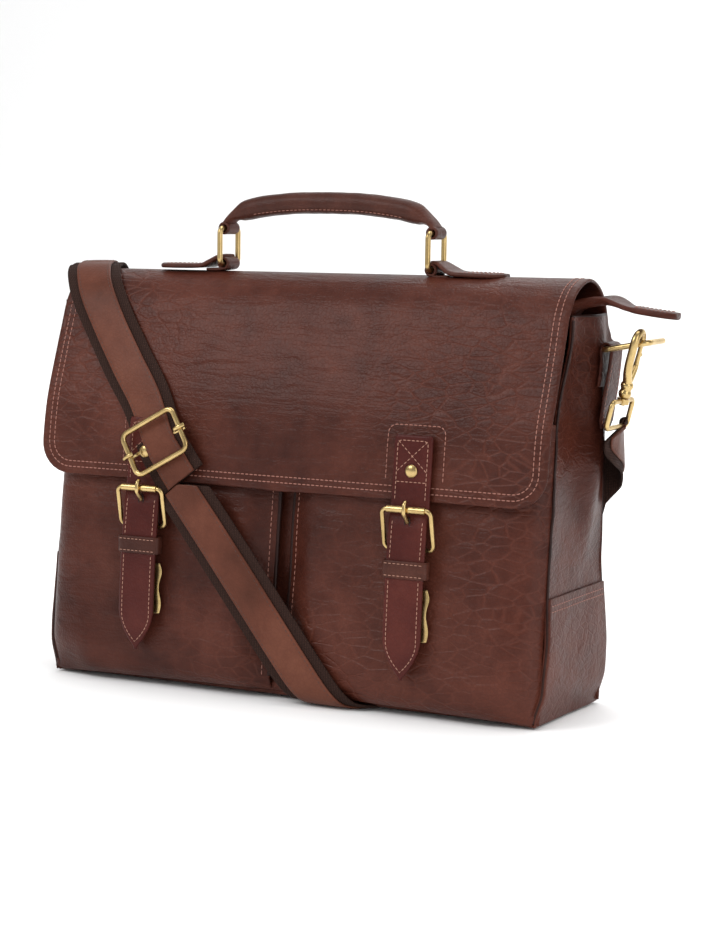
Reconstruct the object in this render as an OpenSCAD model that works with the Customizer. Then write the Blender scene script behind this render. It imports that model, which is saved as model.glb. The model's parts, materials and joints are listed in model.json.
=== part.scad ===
// Leather briefcase with a full front flap, two closing straps, two front
// pockets, a top handle and a removable shoulder strap.
// Origin: middle of the flat base. +X is the wearer's right when the front is
// seen face on, -Y is the front, +Z is up. All sizes are in millimetres.

/* [Case] */
// Width of the case between the outer faces of the two gussets
case_w = 400; // [392:1:408]
// Depth of the case at the base
base_d = 108; // [106:1:110]
// Height of the gussets
case_h = 280; // [279:1:281]
// Height of the front and back panels, where the zip closes the case
panel_h = 262; // [261:1:263]
// Distance of the front panel's top edge from the middle plane
front_top = 26; // [25:1:27]
// Distance of the back panel's top edge from the middle plane
back_top = 43; // [42.8:0.1:43.2]
// Thickness of a leather panel
leather_t = 3; // [2.8:0.1:3]

/* [Pockets] */
// Height of the open top of the front pockets
pocket_top = 208; // [200:1:212]
// How far the pockets stand out from the front panel
pocket_bulge = 18; // [16:1:18]
// Width of the gap between the two pockets
pocket_gap = 12; // [10:1:16]

/* [Flap] */
// Width of the flap
flap_w = 411; // [409:1:412]
// Height of the flap's lower edge
flap_low = 153; // [152:1:155]
// Radius of the flap's two lower corners
flap_corner = 24; // [15:1:30]

/* [Straps and buckles] */
// Distance of each closing strap from the line midway between them
strap_x = 108.5; // [107:0.5:110]
// Sideways offset of both closing straps and of the gap between the pockets
front_shift = -3.5; // [-4:0.5:-3]
// Width of a closing strap
strap_w = 30; // [28:1:31]
// Width of the shoulder strap
shoulder_w = 39; // [36:1:39]
// Thickness of the shoulder strap, webbing and leather together
shoulder_t = 3.6; // [3.2:0.1:3.6]

/* [Handle] */
// Distance of each handle ring from the middle plane
ring_x = 85.5; // [80:0.5:90]
// Diameter of the rolled leather grip
grip_d = 15; // [13:1:16]

/* [Hidden] */
$fn = 48;

// Leather, brass and cloth colours
leather = [0.36, 0.19, 0.15];
dark_leather = [0.26, 0.15, 0.12];
strap_leather = [0.45, 0.26, 0.20];
webbing = [0.22, 0.15, 0.14];
brass = [0.80, 0.66, 0.36];
cloth = [0.30, 0.26, 0.22];

left = -1;
right = 1;
touch = 0.15;              // gap left between leather pieces sewn together
body_gap = 0.4;            // gap between pieces that move apart
half_w = case_w / 2;
inner_w = half_w - leather_t;
bottom_t = 5.5;
board_t = 3;
lining_t = 1;
floor_z = bottom_t + board_t;
far = 600;                 // longer than the whole case

// Walls of the case: both lean inwards from the base to the top
function front_y(z) = -base_d / 2 + (base_d / 2 - front_top) * z / case_h;
function back_y(z) = base_d / 2 + (back_top - base_d / 2) * z / panel_h;

// Points of an arc in a plane, from angle a to angle b
function arc(centre, radius, a, b, steps) =
  [for (i = [0:steps]) let (t = a + (b - a) * i / steps)
    centre + radius * [cos(t), sin(t)]];

// Unit vector from one point to another, and its left-hand normal
function unit(v) = v / norm(v);
function normal_of(v) = [-v[1], v[0]];

// Mitred normal at each point of a path
function path_normal(p, i) =
  let (last = len(p) - 1,
       before = unit(p[max(i, 1)] - p[max(i, 1) - 1]),
       after = unit(p[min(i, last - 1) + 1] - p[min(i, last - 1)]),
       n = unit(normal_of(before) + normal_of(after)))
  n / (n * normal_of(before));

// The path moved sideways by d, to the left of its direction
function moved(p, d) = [for (i = [0:len(p) - 1]) p[i] + d * path_normal(p, i)];
function backwards(p) = [for (i = [len(p) - 1:-1:0]) p[i]];

// A strip between two offsets of a path
module band(p, d0, d1) polygon(concat(moved(p, d0), backwards(moved(p, d1))));

// Extrudes a (y, z) outline along X, an (x, z) outline along Y
module along_x(x0, x1) translate([x0, 0, 0]) rotate([90, 0, 90])
  linear_extrude(x1 - x0) children();
module along_y(y0, y1) translate([0, y1, 0]) rotate([90, 0, 0])
  linear_extrude(y1 - y0) children();

// Round bar between two X or Y positions
module bar_x(x0, x1, r) translate([x0, 0, 0]) rotate([0, 90, 0]) cylinder(h = x1 - x0, r = r);
module bar_y(y0, y1, r) translate([0, y0, 0]) rotate([-90, 0, 0]) cylinder(h = y1 - y0, r = r);

// Closed frame of round wire in the XY plane: w and h are between wire centres
module wire_frame(w, h, corner, wire) {
  for (k = [0:3])
    translate([(k % 3 == 0 ? 1 : -1) * (w / 2 - corner), (k < 2 ? 1 : -1) * (h / 2 - corner), 0])
      rotate([0, 0, 90 * k]) rotate_extrude(angle = 90) translate([corner, 0]) circle(wire);
  for (sy = [-1, 1]) translate([0, sy * h / 2, 0])
    bar_x(-w / 2 + corner, w / 2 - corner, wire);
  for (sx = [-1, 1]) translate([sx * w / 2, 0, 0])
    bar_y(-h / 2 + corner, h / 2 - corner, wire);
}

// ---------------------------------------------------------------- case ----

under_shift = 92;          // how far the strap travels in X under the base
front_cross = 45;          // X of the strap's centre at the front bottom edge
back_cross = front_cross + under_shift;
under_half = shoulder_w * 0.64;    // half width of the strap measured along X
groove_d = shoulder_t + 2 * touch + 0.3;

// Outline of the strap under the base, in X and Y, wider by extra
module under_strip(extra) polygon([
  [front_cross - under_half - extra, -base_d / 2],
  [front_cross + under_half + extra, -base_d / 2],
  [back_cross + under_half + extra, base_d / 2],
  [back_cross - under_half - extra, base_d / 2]]);

module bottom_panel() color(leather) difference() {
  along_x(-half_w, half_w) polygon([
    [-base_d / 2, 0], [base_d / 2, 0],
    [back_y(bottom_t), bottom_t], [front_y(bottom_t), bottom_t]]);
  translate([0, 0, -1]) linear_extrude(groove_d + 1) scale([1, 1.05]) under_strip(4);
}

module base_board() color(cloth) translate([-inner_w + touch, -45, bottom_t + 0.05])
  cube([2 * (inner_w - touch), 92, board_t - 0.1]);

module wall_panel(y0, y1, top) along_x(-inner_w, inner_w) polygon([
  [y0[0], bottom_t], [y1[0], bottom_t], [y1[1], top], [y0[1], top]]);

module front_panel() color(leather) wall_panel(
  [front_y(bottom_t), front_y(panel_h)],
  [front_y(bottom_t) + leather_t, front_y(panel_h) + leather_t], panel_h);

module back_panel() color(leather) wall_panel(
  [back_y(bottom_t) - leather_t, back_y(panel_h) - leather_t],
  [back_y(bottom_t), back_y(panel_h)], panel_h);

// Side wall: its top edge stays under the arch of the flap
ear_back = 32;
module gusset(side) color(dark_leather)
  along_x(side > 0 ? inner_w : -half_w, side > 0 ? half_w : -inner_w) polygon([
    [front_y(bottom_t), bottom_t], [back_y(bottom_t), bottom_t],
    [back_y(panel_h), panel_h - 1], [ear_back + 6, panel_h + 1],
    [ear_back, case_h], [front_y(case_h), case_h]]);
module gusset_left() gusset(left);
module gusset_right() gusset(right);

// Cloth bag inside the walls, open at the top
lining_top = panel_h - 6;
lining_gap = leather_t + touch;
module lining_outline(inset, low, high) polygon([
  [front_y(low) + lining_gap + inset, low],
  [back_y(low) - lining_gap - inset, low],
  [back_y(high) - lining_gap - inset, high],
  [front_y(high) + lining_gap + inset, high]]);
module lining() color(cloth) difference() {
  along_x(-inner_w + touch, inner_w - touch)
    lining_outline(0, floor_z + touch, lining_top);
  along_x(-inner_w + touch + lining_t, inner_w - touch - lining_t)
    lining_outline(lining_t, floor_z + touch + lining_t, lining_top + 1);
}

// Leather patch sewn over the foot of each gusset
patch_top = 89;
patch_t = 1.6;
module gusset_patch(side) color(leather)
  along_x(side > 0 ? half_w + 0.05 : -half_w - 0.05 - patch_t,
          side > 0 ? half_w + 0.05 + patch_t : -half_w - 0.05) polygon([
    [front_y(2) + 1, 2], [back_y(2) - 1, 2],
    [back_y(patch_top) - 1, patch_top], [front_y(patch_top) + 1, patch_top]]);
module gusset_patch_left() gusset_patch(left);
module gusset_patch_right() gusset_patch(right);

// Front pockets: open at the top, with the front panel as their back wall
pocket_low = 7;
pocket_t = 2.4;
pocket_end = inner_w - 2;
function pocket_path(out) = [
  [front_y(pocket_low) - touch - 9 * out, pocket_low],
  [front_y(20) - touch - pocket_bulge * out, 20],
  [front_y(60) - touch - (pocket_bulge + 0.6) * out, 60],
  [front_y(130) - touch - pocket_bulge * out, 130],
  [front_y(180) - touch - (pocket_bulge - 4) * out, 180],
  [front_y(pocket_top) - touch - (pocket_bulge - 7) * out, pocket_top]];
module pocket_solid() polygon(concat(pocket_path(1), [
  [front_y(pocket_top) - touch, pocket_top],
  [front_y(pocket_low) - touch, pocket_low]]));
module pocket_space() polygon(concat(
  [for (p = pocket_path(1)) [p[0] + pocket_t, p[1] + (p[1] == pocket_low ? pocket_t : 0)
    + (p[1] == pocket_top ? 1 : 0)]], [
  [front_y(pocket_top) + 5, pocket_top + 1],
  [front_y(pocket_low) + 5, pocket_low + pocket_t]]));
module pocket(side) color(leather) mirror([side > 0 ? 0 : 1, 0, 0]) difference() {
  along_x(pocket_gap / 2 + side * front_shift, pocket_end) pocket_solid();
  along_x(pocket_gap / 2 + side * front_shift + pocket_t, pocket_end - pocket_t) pocket_space();
}
module pocket_left() pocket(left);
module pocket_right() pocket(right);

// Leather tab at the top of each gusset, folded round the side ring
tab_y = 18;
tab_w = 21;
tab_loop_x = half_w + 16;
tab_loop_z = 258;
ring_wire = 2;
loop_r = 4.8;
loop_bore = ring_wire + 0.3;
module side_tab(side) color(strap_leather) mirror([side > 0 ? 0 : 1, 0, 0]) difference() {
  union() {
    along_y(tab_y - tab_w / 2, tab_y + tab_w / 2) polygon([
      [half_w + touch, 202], [half_w + 5, 202], [tab_loop_x + 3.6, 252],
      [tab_loop_x + loop_r, tab_loop_z], [tab_loop_x - loop_r, tab_loop_z],
      [half_w + touch, 262]]);
    translate([tab_loop_x, 0, tab_loop_z])
      bar_y(tab_y - tab_w / 2, tab_y + tab_w / 2, loop_r);
  }
  translate([tab_loop_x, 0, tab_loop_z]) bar_y(tab_y - tab_w, tab_y + tab_w, loop_bore);
}
module side_tab_left() side_tab(left);
module side_tab_right() side_tab(right);

// ----------------------------------------------------------------- zip ----

zip_y = 8;                 // line on which the two leaves meet
leaf_z = panel_h + 1;
leaf_t = 2;
leaf_x0 = -inner_w + 4;
leaf_x1 = inner_w - 18;
front_hinge_y = front_y(panel_h) + leather_t + 4.5;
back_hinge_y = back_y(panel_h) - leather_t - 4.5;
teeth_w = 2.4;
teeth_gap = 0.2;

// Leather edge strips that the zip leaves hang from
module zip_binding() color(strap_leather) {
  for (edge = [[front_y(panel_h), front_hinge_y - 1.4], [back_hinge_y + 1.4, back_y(panel_h) - 3.7]])
    translate([leaf_x0, edge[0], panel_h + 0.05])
      cube([leaf_x1 - leaf_x0, edge[1] - edge[0], 2.4]);
}

// One leaf of the zip, with its row of teeth
module zip_leaf(y0, y1) {
  inner = y1 > y0 ? zip_y - teeth_gap : zip_y + teeth_gap;
  edge = y1 > y0 ? inner - teeth_w : inner + teeth_w;
  color(cloth) translate([leaf_x0, min(y0, edge), leaf_z])
    cube([leaf_x1 - leaf_x0, abs(edge - y0), leaf_t]);
  color(brass) translate([leaf_x0 + 3, min(edge, inner), leaf_z - 0.5])
    cube([leaf_x1 - leaf_x0 - 6, teeth_w, leaf_t + 1]);
}
module zip_leaf_front() zip_leaf(front_hinge_y, zip_y);
module zip_leaf_back() zip_leaf(back_hinge_y, zip_y);

slider_x = -158;           // X of the zip slider when the case is closed
slider_z = leaf_z + leaf_t + 1;
module zip_slider() color(brass) translate([slider_x, zip_y, slider_z]) difference() {
  union() {
    translate([-6, -4.5, 0]) cube([12, 9, 2]);
    translate([-3, -1.6, 2]) cube([6, 3.2, 3.4]);
  }
  translate([0, 0, 3.4]) bar_y(-5, 5, 1.05);
}
module zip_pull() color(brass) translate([slider_x, zip_y, slider_z + 3.4]) {
  bar_y(-4, 4, 1);
  for (s = [-1, 1]) translate([-8, s * 3.4 - 0.6, -1]) cube([9, 1.2, 2]);
  translate([-29.6, -4, -1]) cube([22, 8, 2]);
}

// Free end of the zip: a strap that runs out over the right gusset
tail_path = [[leaf_x1 + 1.5, 264], [188, 268], [193, 284], [200, 287], [214, 288],
  [234, 286], [268, 281]];
module zip_tail() color(strap_leather) intersection() {
  along_y(zip_y - 18, zip_y + 18) band(tail_path, -1.6, 2.2);
  linear_extrude(far) polygon([
    [leaf_x1, zip_y - 16], [218, zip_y - 16], [232, zip_y - 11], [262, zip_y - 10],
    [268, zip_y - 6], [268, zip_y + 6], [262, zip_y + 10], [232, zip_y + 11],
    [218, zip_y + 16], [leaf_x1, zip_y + 16]]);
}

// ---------------------------------------------------------------- flap ----

arch_y = 3;
arch_z = 264;
arch_r = 40;
flap_t = 2.2;
flap_lining_t = 0.8;

// Outer surface of the flap, from its lower edge over the top to the hinge
flap_path = concat([[-62, flap_low], [-56.5, 205]], arc([arch_y, arch_z], arch_r, 162, 0, 24));
arch_part = arc([arch_y, arch_z], arch_r, 130, 40, 18);

// Front outline of the flap with rounded lower corners, smaller by inset
module flap_outline(inset) {
  w = flap_w / 2 - inset;
  r = flap_corner - inset;
  low = flap_low - 1 + inset;
  polygon(concat([[w, 400], [-w, 400]],
    arc([-w + r, low + r], r, 180, 270, 8), arc([w - r, low + r], r, 270, 360, 8)));
}
module flap() color(leather) intersection() {
  along_x(-far, far) band(flap_path, 0, -flap_t);
  along_y(-100, 100) flap_outline(0);
}
module flap_lining() color(cloth) intersection() {
  along_x(-far, far) band(flap_path, -flap_t - 0.02, -flap_t - flap_lining_t);
  along_y(-100, 100) flap_outline(3);
}

// ---------------------------------------------------- handle and rings ----

handle_y = 6;
ring_low_z = arch_z + arch_r + loop_r + 0.3;
ring_h = 26;
ring_wide = 26;
base_end = 140;
loop_half = 9.4;           // half width of the loops round the handle rings

// Tab sewn on top of the flap, with the loop that holds a handle ring
module handle_base(side) color(strap_leather) mirror([side > 0 ? 0 : 1, 0, 0]) difference() {
  union() {
    intersection() {
      along_x(ring_x - 2, base_end) band(arch_part, touch, 3.6);
      translate([ring_x - 2, handle_y - 13, 200]) cube([60, 26, 200]);
    }
    translate([ring_x, 0, ring_low_z]) bar_y(handle_y - loop_half, handle_y + loop_half, loop_r);
    along_y(handle_y - loop_half, handle_y + loop_half) polygon([
      [ring_x + 1, ring_low_z - loop_r], [ring_x + 3, ring_low_z + loop_r - 1.4],
      [ring_x + 14, arch_z + arch_r + 2.4], [ring_x + 14, ring_low_z - loop_r]]);
  }
  translate([ring_x, 0, ring_low_z]) bar_y(handle_y - 30, handle_y + 30, loop_bore);
}
module handle_base_left() handle_base(left);
module handle_base_right() handle_base(right);

module handle_ring(side) color(brass)
  translate([side * ring_x, handle_y, ring_low_z + ring_h / 2])
    rotate([90, 0, 90]) wire_frame(ring_wide, ring_h, 4, ring_wire);
module handle_ring_left() handle_ring(left);
module handle_ring_right() handle_ring(right);

// Rolled grip on an arc, with a flat loop at each end round its ring
grip_top = 355;            // height of the grip's middle line
grip_half = 64;
grip_drop = 8;
grip_arc_r = (grip_half * grip_half + grip_drop * grip_drop) / (2 * grip_drop);
grip_angle = asin(grip_half / grip_arc_r);
ring_top_z = ring_low_z + ring_h;
core_r = 4;
module grip_bar(r) translate([0, handle_y, grip_top - grip_arc_r]) rotate([90, 0, 0])
  rotate([0, 0, 90 - grip_angle]) rotate_extrude(angle = 2 * grip_angle, $fn = 96)
    translate([grip_arc_r, 0]) circle(r, $fn = 48);
module grip_end(side) mirror([side > 0 ? 0 : 1, 0, 0]) {
  along_y(handle_y - loop_half, handle_y + loop_half) polygon([
    [grip_half - 4, grip_top - grip_drop - 5.5], [grip_half - 3, grip_top - grip_drop + 5],
    [ring_x - 7, ring_top_z + 9.5], [ring_x + 3.4, ring_top_z + 3.4],
    [ring_x - 1, ring_top_z - loop_r + 0.1], [ring_x - 9, ring_top_z - 3]]);
  translate([ring_x, 0, ring_top_z]) bar_y(handle_y - loop_half, handle_y + loop_half, loop_r);
}
module handle_cover() color(strap_leather) difference() {
  union() {
    grip_bar(grip_d / 2);
    grip_end(left);
    grip_end(right);
  }
  grip_bar(core_r + 0.1);
  for (s = [left, right]) translate([s * ring_x, 0, ring_top_z])
    bar_y(handle_y - 30, handle_y + 30, loop_bore);
}
module handle_core() color(cloth) grip_bar(core_r);

// ------------------------------------------------ closing straps, buckles ----

strap_t = 2.6;
strap_top_z = 197;
strap_low_z = 27;
flap_lean = (62 - 56.5) / (205 - flap_low);   // how the flap's front leans, y for z
function flap_front_y(z) = -62 + flap_lean * (z - flap_low);

module at_strap(side) translate([side * strap_x + front_shift, 0, 0]) children();

// Back face of a closing strap, from its sewn top to its hanging tip
closing_path = [
  [flap_front_y(strap_top_z) - touch, strap_top_z], [-62 - touch, flap_low],
  [-65, 145], [-68.2, 132], [-70.2, 118], [-72.2, 100], [-75, 60], [-76.2, strap_low_z]];

module closing_strap(side) color(strap_leather) at_strap(side) intersection() {
  along_x(-strap_w / 2, strap_w / 2) band(closing_path, 0, -strap_t);
  along_y(-100, 0) difference() {
    polygon([
      [-strap_w / 2, 400], [-strap_w / 2, strap_low_z + 20], [-7, strap_low_z + 3],
      [0, strap_low_z + 0.5], [7, strap_low_z + 3], [strap_w / 2, strap_low_z + 20],
      [strap_w / 2, 400]]);
    translate([-prong_w / 2 - 0.7, heel_z - 4.5]) square([prong_w + 1.4, 14]);
  }
}
module closing_strap_left() closing_strap(left);
module closing_strap_right() closing_strap(right);

rivet_z = 172;
module strap_rivet(side) color(brass)
  at_strap(side) translate([0, flap_front_y(rivet_z) - touch - strap_t - 0.6, rivet_z]) rotate([90, 0, 0]) {
    cylinder(h = 0.7, r = 4.6);
    translate([0, 0, 0.7]) cylinder(h = 0.5, r1 = 4.4, r2 = 2.6, $fn = 48);
  }
module strap_rivet_left() strap_rivet(left);
module strap_rivet_right() strap_rivet(right);

// Buckle: the top bar with its roller is in front of the strap, the heel bar
// behind it
roller_z = 147;
roller_y = -73;
heel_z = 119;
heel_y = -67.4;
frame_half = 18.8;
frame_wire = 1.6;
roller_r = 2.5;
buckle_tilt = atan((heel_y - roller_y) / (roller_z - heel_z));
buckle_h = norm([heel_y - roller_y, roller_z - heel_z]);
module in_buckle_plane(side) at_strap(side)
  translate([0, (roller_y + heel_y) / 2, (roller_z + heel_z) / 2])
    rotate([buckle_tilt, 0, 0]) rotate([90, 0, 0]) children();
module buckle_frame(side) color(brass) in_buckle_plane(side)
  wire_frame(2 * frame_half, buckle_h, 4, frame_wire);
module buckle_frame_left() buckle_frame(left);
module buckle_frame_right() buckle_frame(right);

module buckle_roller(side) color(brass) in_buckle_plane(side)
  translate([0, buckle_h / 2, 0]) difference() {
    bar_x(-14.6, 14.6, roller_r);
    bar_x(-20, 20, frame_wire + 0.06);
  }
module buckle_roller_left() buckle_roller(left);
module buckle_roller_right() buckle_roller(right);

// Prong: an eye round the heel bar and a tongue up through a slot in front
prong_w = 3.2;
module buckle_prong(side) color(brass) at_strap(side) difference() {
  union() {
    translate([-prong_w / 2, heel_y, heel_z]) rotate([0, 90, 0]) cylinder(h = prong_w, r = 3);
    along_x(-prong_w / 2, prong_w / 2) polygon([
      [heel_y - 0.4, heel_z + 2.6], [heel_y - 2.4, heel_z - 1],
      [-77.4, 127], [-78, 150], [-76, 150], [-75.6, 142], [-75, 129]]);
  }
  translate([-10, heel_y, heel_z]) rotate([0, 90, 0]) cylinder(h = 20, r = frame_wire + 0.06);
}
module buckle_prong_left() buckle_prong(left);
module buckle_prong_right() buckle_prong(right);

// Chape: short strap behind the closing strap, folded round the heel bar
chape_w = 24;
chape_low = 84;
clip_z = 82;
clip_y = -70;
clip_pin = 0.75;
module chape(side) color(dark_leather) at_strap(side) difference() {
  union() {
    along_x(-chape_w / 2, chape_w / 2) polygon([
      [heel_y + 1.9, heel_z], [heel_y - 1.9, heel_z - 1], [-70.1, 112], [-71.7, 100],
      [-72.9, chape_low], [-70.9, chape_low], [-69.7, 100], [-68.7, 111]]);
    translate([0, heel_y, heel_z]) bar_x(-chape_w / 2, chape_w / 2, 2.2);
    translate([0, clip_y, clip_z]) bar_x(-8.6, 8.6, clip_pin);
    for (s = [-1, 1]) translate([s * 7.6 - 1, clip_y - 1.6, clip_z - 1.4]) cube([2, 2.4, 5]);
  }
  translate([0, heel_y, heel_z]) bar_x(-20, 20, frame_wire + 0.06);
  translate([-prong_w / 2 - 0.8, -80, heel_z - 3.6]) cube([prong_w + 1.6, 20, 10]);
}
module chape_left() chape(left);
module chape_right() chape(right);

// Keeper: leather band round the strap and the chape
keeper_low = 100;
keeper_h = 11;
module keeper(side) color(strap_leather) at_strap(side) translate([0, -71.9, keeper_low]) difference() {
  translate([-18.4, -5.2, 0]) cube([36.8, 10.4, keeper_h]);
  translate([-15.6, -3.4, -1]) cube([31.2, 7, keeper_h + 2]);
}
module keeper_left() keeper(left);
module keeper_right() keeper(right);

// Hidden spring clip at the foot of the chape, and its catch on the pocket
module clip_lever(side) color(brass) at_strap(side) difference() {
  union() {
    translate([0, clip_y, clip_z]) bar_x(-6, 6, 1.9);
    along_x(-6, 6) polygon([
      [clip_y - 1.2, clip_z - 1], [clip_y + 1.2, clip_z - 1], [clip_y + 0.2, 70],
      [clip_y - 0.6, 62], [clip_y + 0.4, 56], [clip_y - 1.4, 54.6],
      [clip_y - 2.4, 62], [clip_y - 1.4, 70]]);
  }
  translate([0, clip_y, clip_z]) bar_x(-10, 10, clip_pin + 0.06);
}
module clip_lever_left() clip_lever(left);
module clip_lever_right() clip_lever(right);

catch_z = 70;
function pocket_face_y(z) = front_y(z) - touch - pocket_bulge - 0.6;
module catch_plate(side) color(brass) at_strap(side)
  translate([-7, pocket_face_y(catch_z - 12) - 0.9, catch_z - 12]) cube([14, 0.8, 14]);
module catch_left() catch_plate(left);
module catch_right() catch_plate(right);

// -------------------------------------------------------- shoulder strap ----

over_gap = 0.3;

// Strap outline seen from the front, a strip round a path of (x, z) points
front_run = [[-214, 330], [-201, 308], [-162, 280], [-117, 210], [-101, 181], [-77, 151], [-70, 142]];
lower_run = [[-84, 160], [-77, 151], [-36, 100], [front_cross, 0], [front_cross + 12, -16]];
strap_split_z = 152;       // height at which the strap passes from the flap to the case

// Back face of the strap on the flap: it climbs over the left closing strap
// and its rivet, then follows the flap up to the top of the arch
over_path = concat(
  [[-66.9, strap_split_z], [-65, rivet_z], [-62.9, 190], [-60.4, 203], [-54, 217]],
  moved(arc([arch_y, arch_z], arch_r, 158, 90, 14), over_gap));
module strap_over_flap() color(strap_leather) intersection() {
  along_x(-far, far) band(over_path, 0, shoulder_t);
  along_y(-100, 100) band(front_run, -shoulder_w / 2, shoulder_w / 2);
}

// Lower run: from the flap's edge over the pocket and under the front edge
lower_path = [[-66.9, strap_split_z - 0.3], [-66.8, 140], [-67, 120], [-68.2, 100], [-70.6, 60],
  [-71.2, 20], [-63.8, 5.2], [-base_d / 2 - 0.1, groove_d - over_gap]];
buckle_side_x = -strap_x + front_shift + frame_half + frame_wire + body_gap;
module strap_front_lower() color(strap_leather) intersection() {
  along_x(buckle_side_x, far) band(lower_path, 0, -shoulder_t);
  along_y(-100, 100) band(lower_run, -shoulder_w / 2, shoulder_w / 2);
}
module strap_underneath() color(strap_leather)
  translate([0, 0, groove_d - over_gap - shoulder_t]) linear_extrude(shoulder_t)
    under_strip(0);

// Back run: up the back panel towards the right-hand hook
back_top_z = 150;
back_run = [[back_cross - 12, -30], [back_cross, 0], [166, 90], [183, back_top_z], [188, back_top_z + 15]];
back_path = [for (z = [0.4, back_top_z]) [back_y(z) + over_gap, z]];
module strap_back_run() color(strap_leather) intersection() {
  along_x(-far, far) band(back_path, 0, -shoulder_t);
  along_y(0, 100) band(back_run, -shoulder_w / 2, shoulder_w / 2);
}

// A flat ribbon through stations: each is a centre point, a direction across
// and a direction through the thickness
function ribbon_ring(s, w, t) = [for (k = [[-1, 0], [1, 0], [1, 1], [-1, 1]])
  s[0] + k[0] * w / 2 * unit(s[1]) + k[1] * t * unit(s[2])];
function quad(a, b, c, d) = [[a, b, c], [a, c, d]];
module ribbon(stations, w, t) {
  n = len(stations);
  points = [for (s = stations) each ribbon_ring(s, w, t)];
  sides = [for (i = [0:n - 2]) for (k = [0:3]) let (a = 4 * i, b = 4 * (i + 1), m = (k + 1) % 4)
    each quad(a + k, b + k, b + m, a + m)];
  caps = concat(quad(0, 1, 2, 3), quad(4 * n - 1, 4 * n - 2, 4 * n - 3, 4 * n - 4));
  polyhedron(points, concat(sides, caps));
}

// Right end: from the back run round the corner to the right-hand hook loop
end_right_stations = [
  [[184, 48.8, back_top_z + 1], [1, 0, 0], [0, 1, 0]],
  [[193, 49.5, 161], [0.85, 0, -0.45], [0, 1, 0]],
  [[203, 50.5, 171], [0.6, -0.15, -0.7], [0.25, 0.97, 0]],
  [[213, 43, 180], [0.38, -0.44, -0.81], [0.75, 0.66, 0]],
  [[220, 28, 188], [0.23, -0.6, -0.7], [0.88, 0.47, 0]],
  [[224, 12, 194], [0.1, -0.9, -0.3], [0.95, 0.3, -0.1]],
  [[226, 4, 199], [0, -1, 0], [0.97, 0, -0.24]],
  [[227, 2, 202.4], [0, -1, 0], [0.97, 0, -0.24]]];
module strap_end_right() color(strap_leather) ribbon(end_right_stations, 30, 3);

// Left end: from the top of the flap back and down to the left-hand hook loop
end_left_stations = [
  [[-203, arch_y + 0.5, 304.5], [1, 0, 0], [0, 0, 1]],
  [[-211, 18, 303], [1, 0.1, 0], [0, 0.3, 1]],
  [[-218, 38, 292], [1, 0.1, 0], [0, 0.6, 0.8]],
  [[-220, 58, 274], [1, 0, 0], [0, 0.8, 0.6]],
  [[-220, 72, 252], [1, 0, 0], [0, 0.85, 0.5]],
  [[-220.1, 78, 233.4], [1, 0, 0], [0, 0.91, 0.41]]];
module strap_end_left() color(strap_leather) ribbon(end_left_stations, 34, 3.4);

// Slider of the shoulder strap: a wire frame with a centre bar whose ends
// stand out past the frame
slider_at = [-101, 181];
slider_y = -70.2;
slider_angle = 30;
slider_long = 46;
slider_short = 32;
module strap_slider() color(brass)
  translate([slider_at[0], slider_y, slider_at[1]])
    rotate([-atan(flap_lean), 0, 0]) rotate([0, -slider_angle, 0]) rotate([90, 0, 0]) {
      wire_frame(slider_long, slider_short, 4, 2);
      bar_x(-slider_long / 2 - 4, slider_long / 2 + 4, 1.7);
    }

// ------------------------------------------------- side rings and hooks ----

side_ring_len = 34;
side_ring_wide = 32;
ring_tilt_right = 11;
ring_tilt_left = 76;
ring_corner = 5;
module side_ring(side, tilt) color(brass) mirror([side > 0 ? 0 : 1, 0, 0])
  translate([tab_loop_x, tab_y, tab_loop_z]) rotate([0, -tilt, 0])
    translate([side_ring_len / 2, 0, 0]) rotate([0, 0, 90])
      wire_frame(side_ring_wide, side_ring_len, ring_corner, ring_wire);
module side_ring_left() side_ring(left, ring_tilt_left);
module side_ring_right() side_ring(right, ring_tilt_right);

// Snap hook in its own frame: the ring's bar passes through the origin along
// Y, and the strap pulls along -Z
hook_t = 4;
eye_top = 6.4;
eye_low = -15;
eye_half = 5.6;
hook_wall = 3.2;
shank_low = -38;
gate_gap_top = 2;
module hook_outline() difference() {
  polygon([
    [-eye_half - hook_wall, eye_low - 3], [-eye_half - hook_wall, eye_top - 3],
    [-eye_half + 1, eye_top + hook_wall], [eye_half - 1, eye_top + hook_wall],
    [eye_half + hook_wall, eye_top - 3], [eye_half + hook_wall, eye_low - 3],
    [4, shank_low + 4], [4, shank_low], [-4, shank_low], [-4, shank_low + 4]]);
  polygon([
    [-eye_half, eye_low + 3], [-eye_half, eye_top - 4], [-eye_half + 3.4, eye_top],
    [eye_half - 3.4, eye_top], [eye_half, eye_top - 4], [eye_half, gate_gap_top],
    [eye_half + 6, gate_gap_top], [eye_half + 6, eye_low], [eye_half, eye_low],
    [eye_half - 3, eye_low - 2], [-eye_half + 3, eye_low]]);
}
module snap_hook() color(brass) {
  along_y(-hook_t / 2, hook_t / 2) hook_outline();
  translate([0, 0, shank_low - 5]) cylinder(h = 5, r = 2);
  translate([0, 0, shank_low - 6.4]) cylinder(h = 1.4, r = 3.4);
}
module hook_gate() color(brass) along_y(-1.6, 1.6) polygon([
  [eye_half + 0.4, gate_gap_top - 0.4], [eye_half + 2.8, gate_gap_top - 0.4],
  [eye_half + 2.8, eye_low + 0.6], [eye_half + 0.4, eye_low + 0.6]]);

// Base loop: a collar round the hook's shank and a wire loop for the strap
loop_wide = 38;
loop_high = 19;
collar_h = 3.6;
module hook_loop() color(brass) translate([0, 0, shank_low - 0.6]) difference() {
  union() {
    translate([0, 0, -collar_h]) cylinder(h = collar_h, r = 4.4);
    translate([0, 0, -collar_h / 2 - loop_high / 2]) rotate([90, 0, 0])
      wire_frame(loop_wide, loop_high, 4, 1.8);
  }
  translate([0, 0, -collar_h - 10]) cylinder(h = 20, r = 2.06);
  translate([0, 0, -collar_h - 2.2]) cylinder(h = 2.2, r = 3.8);
}

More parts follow.
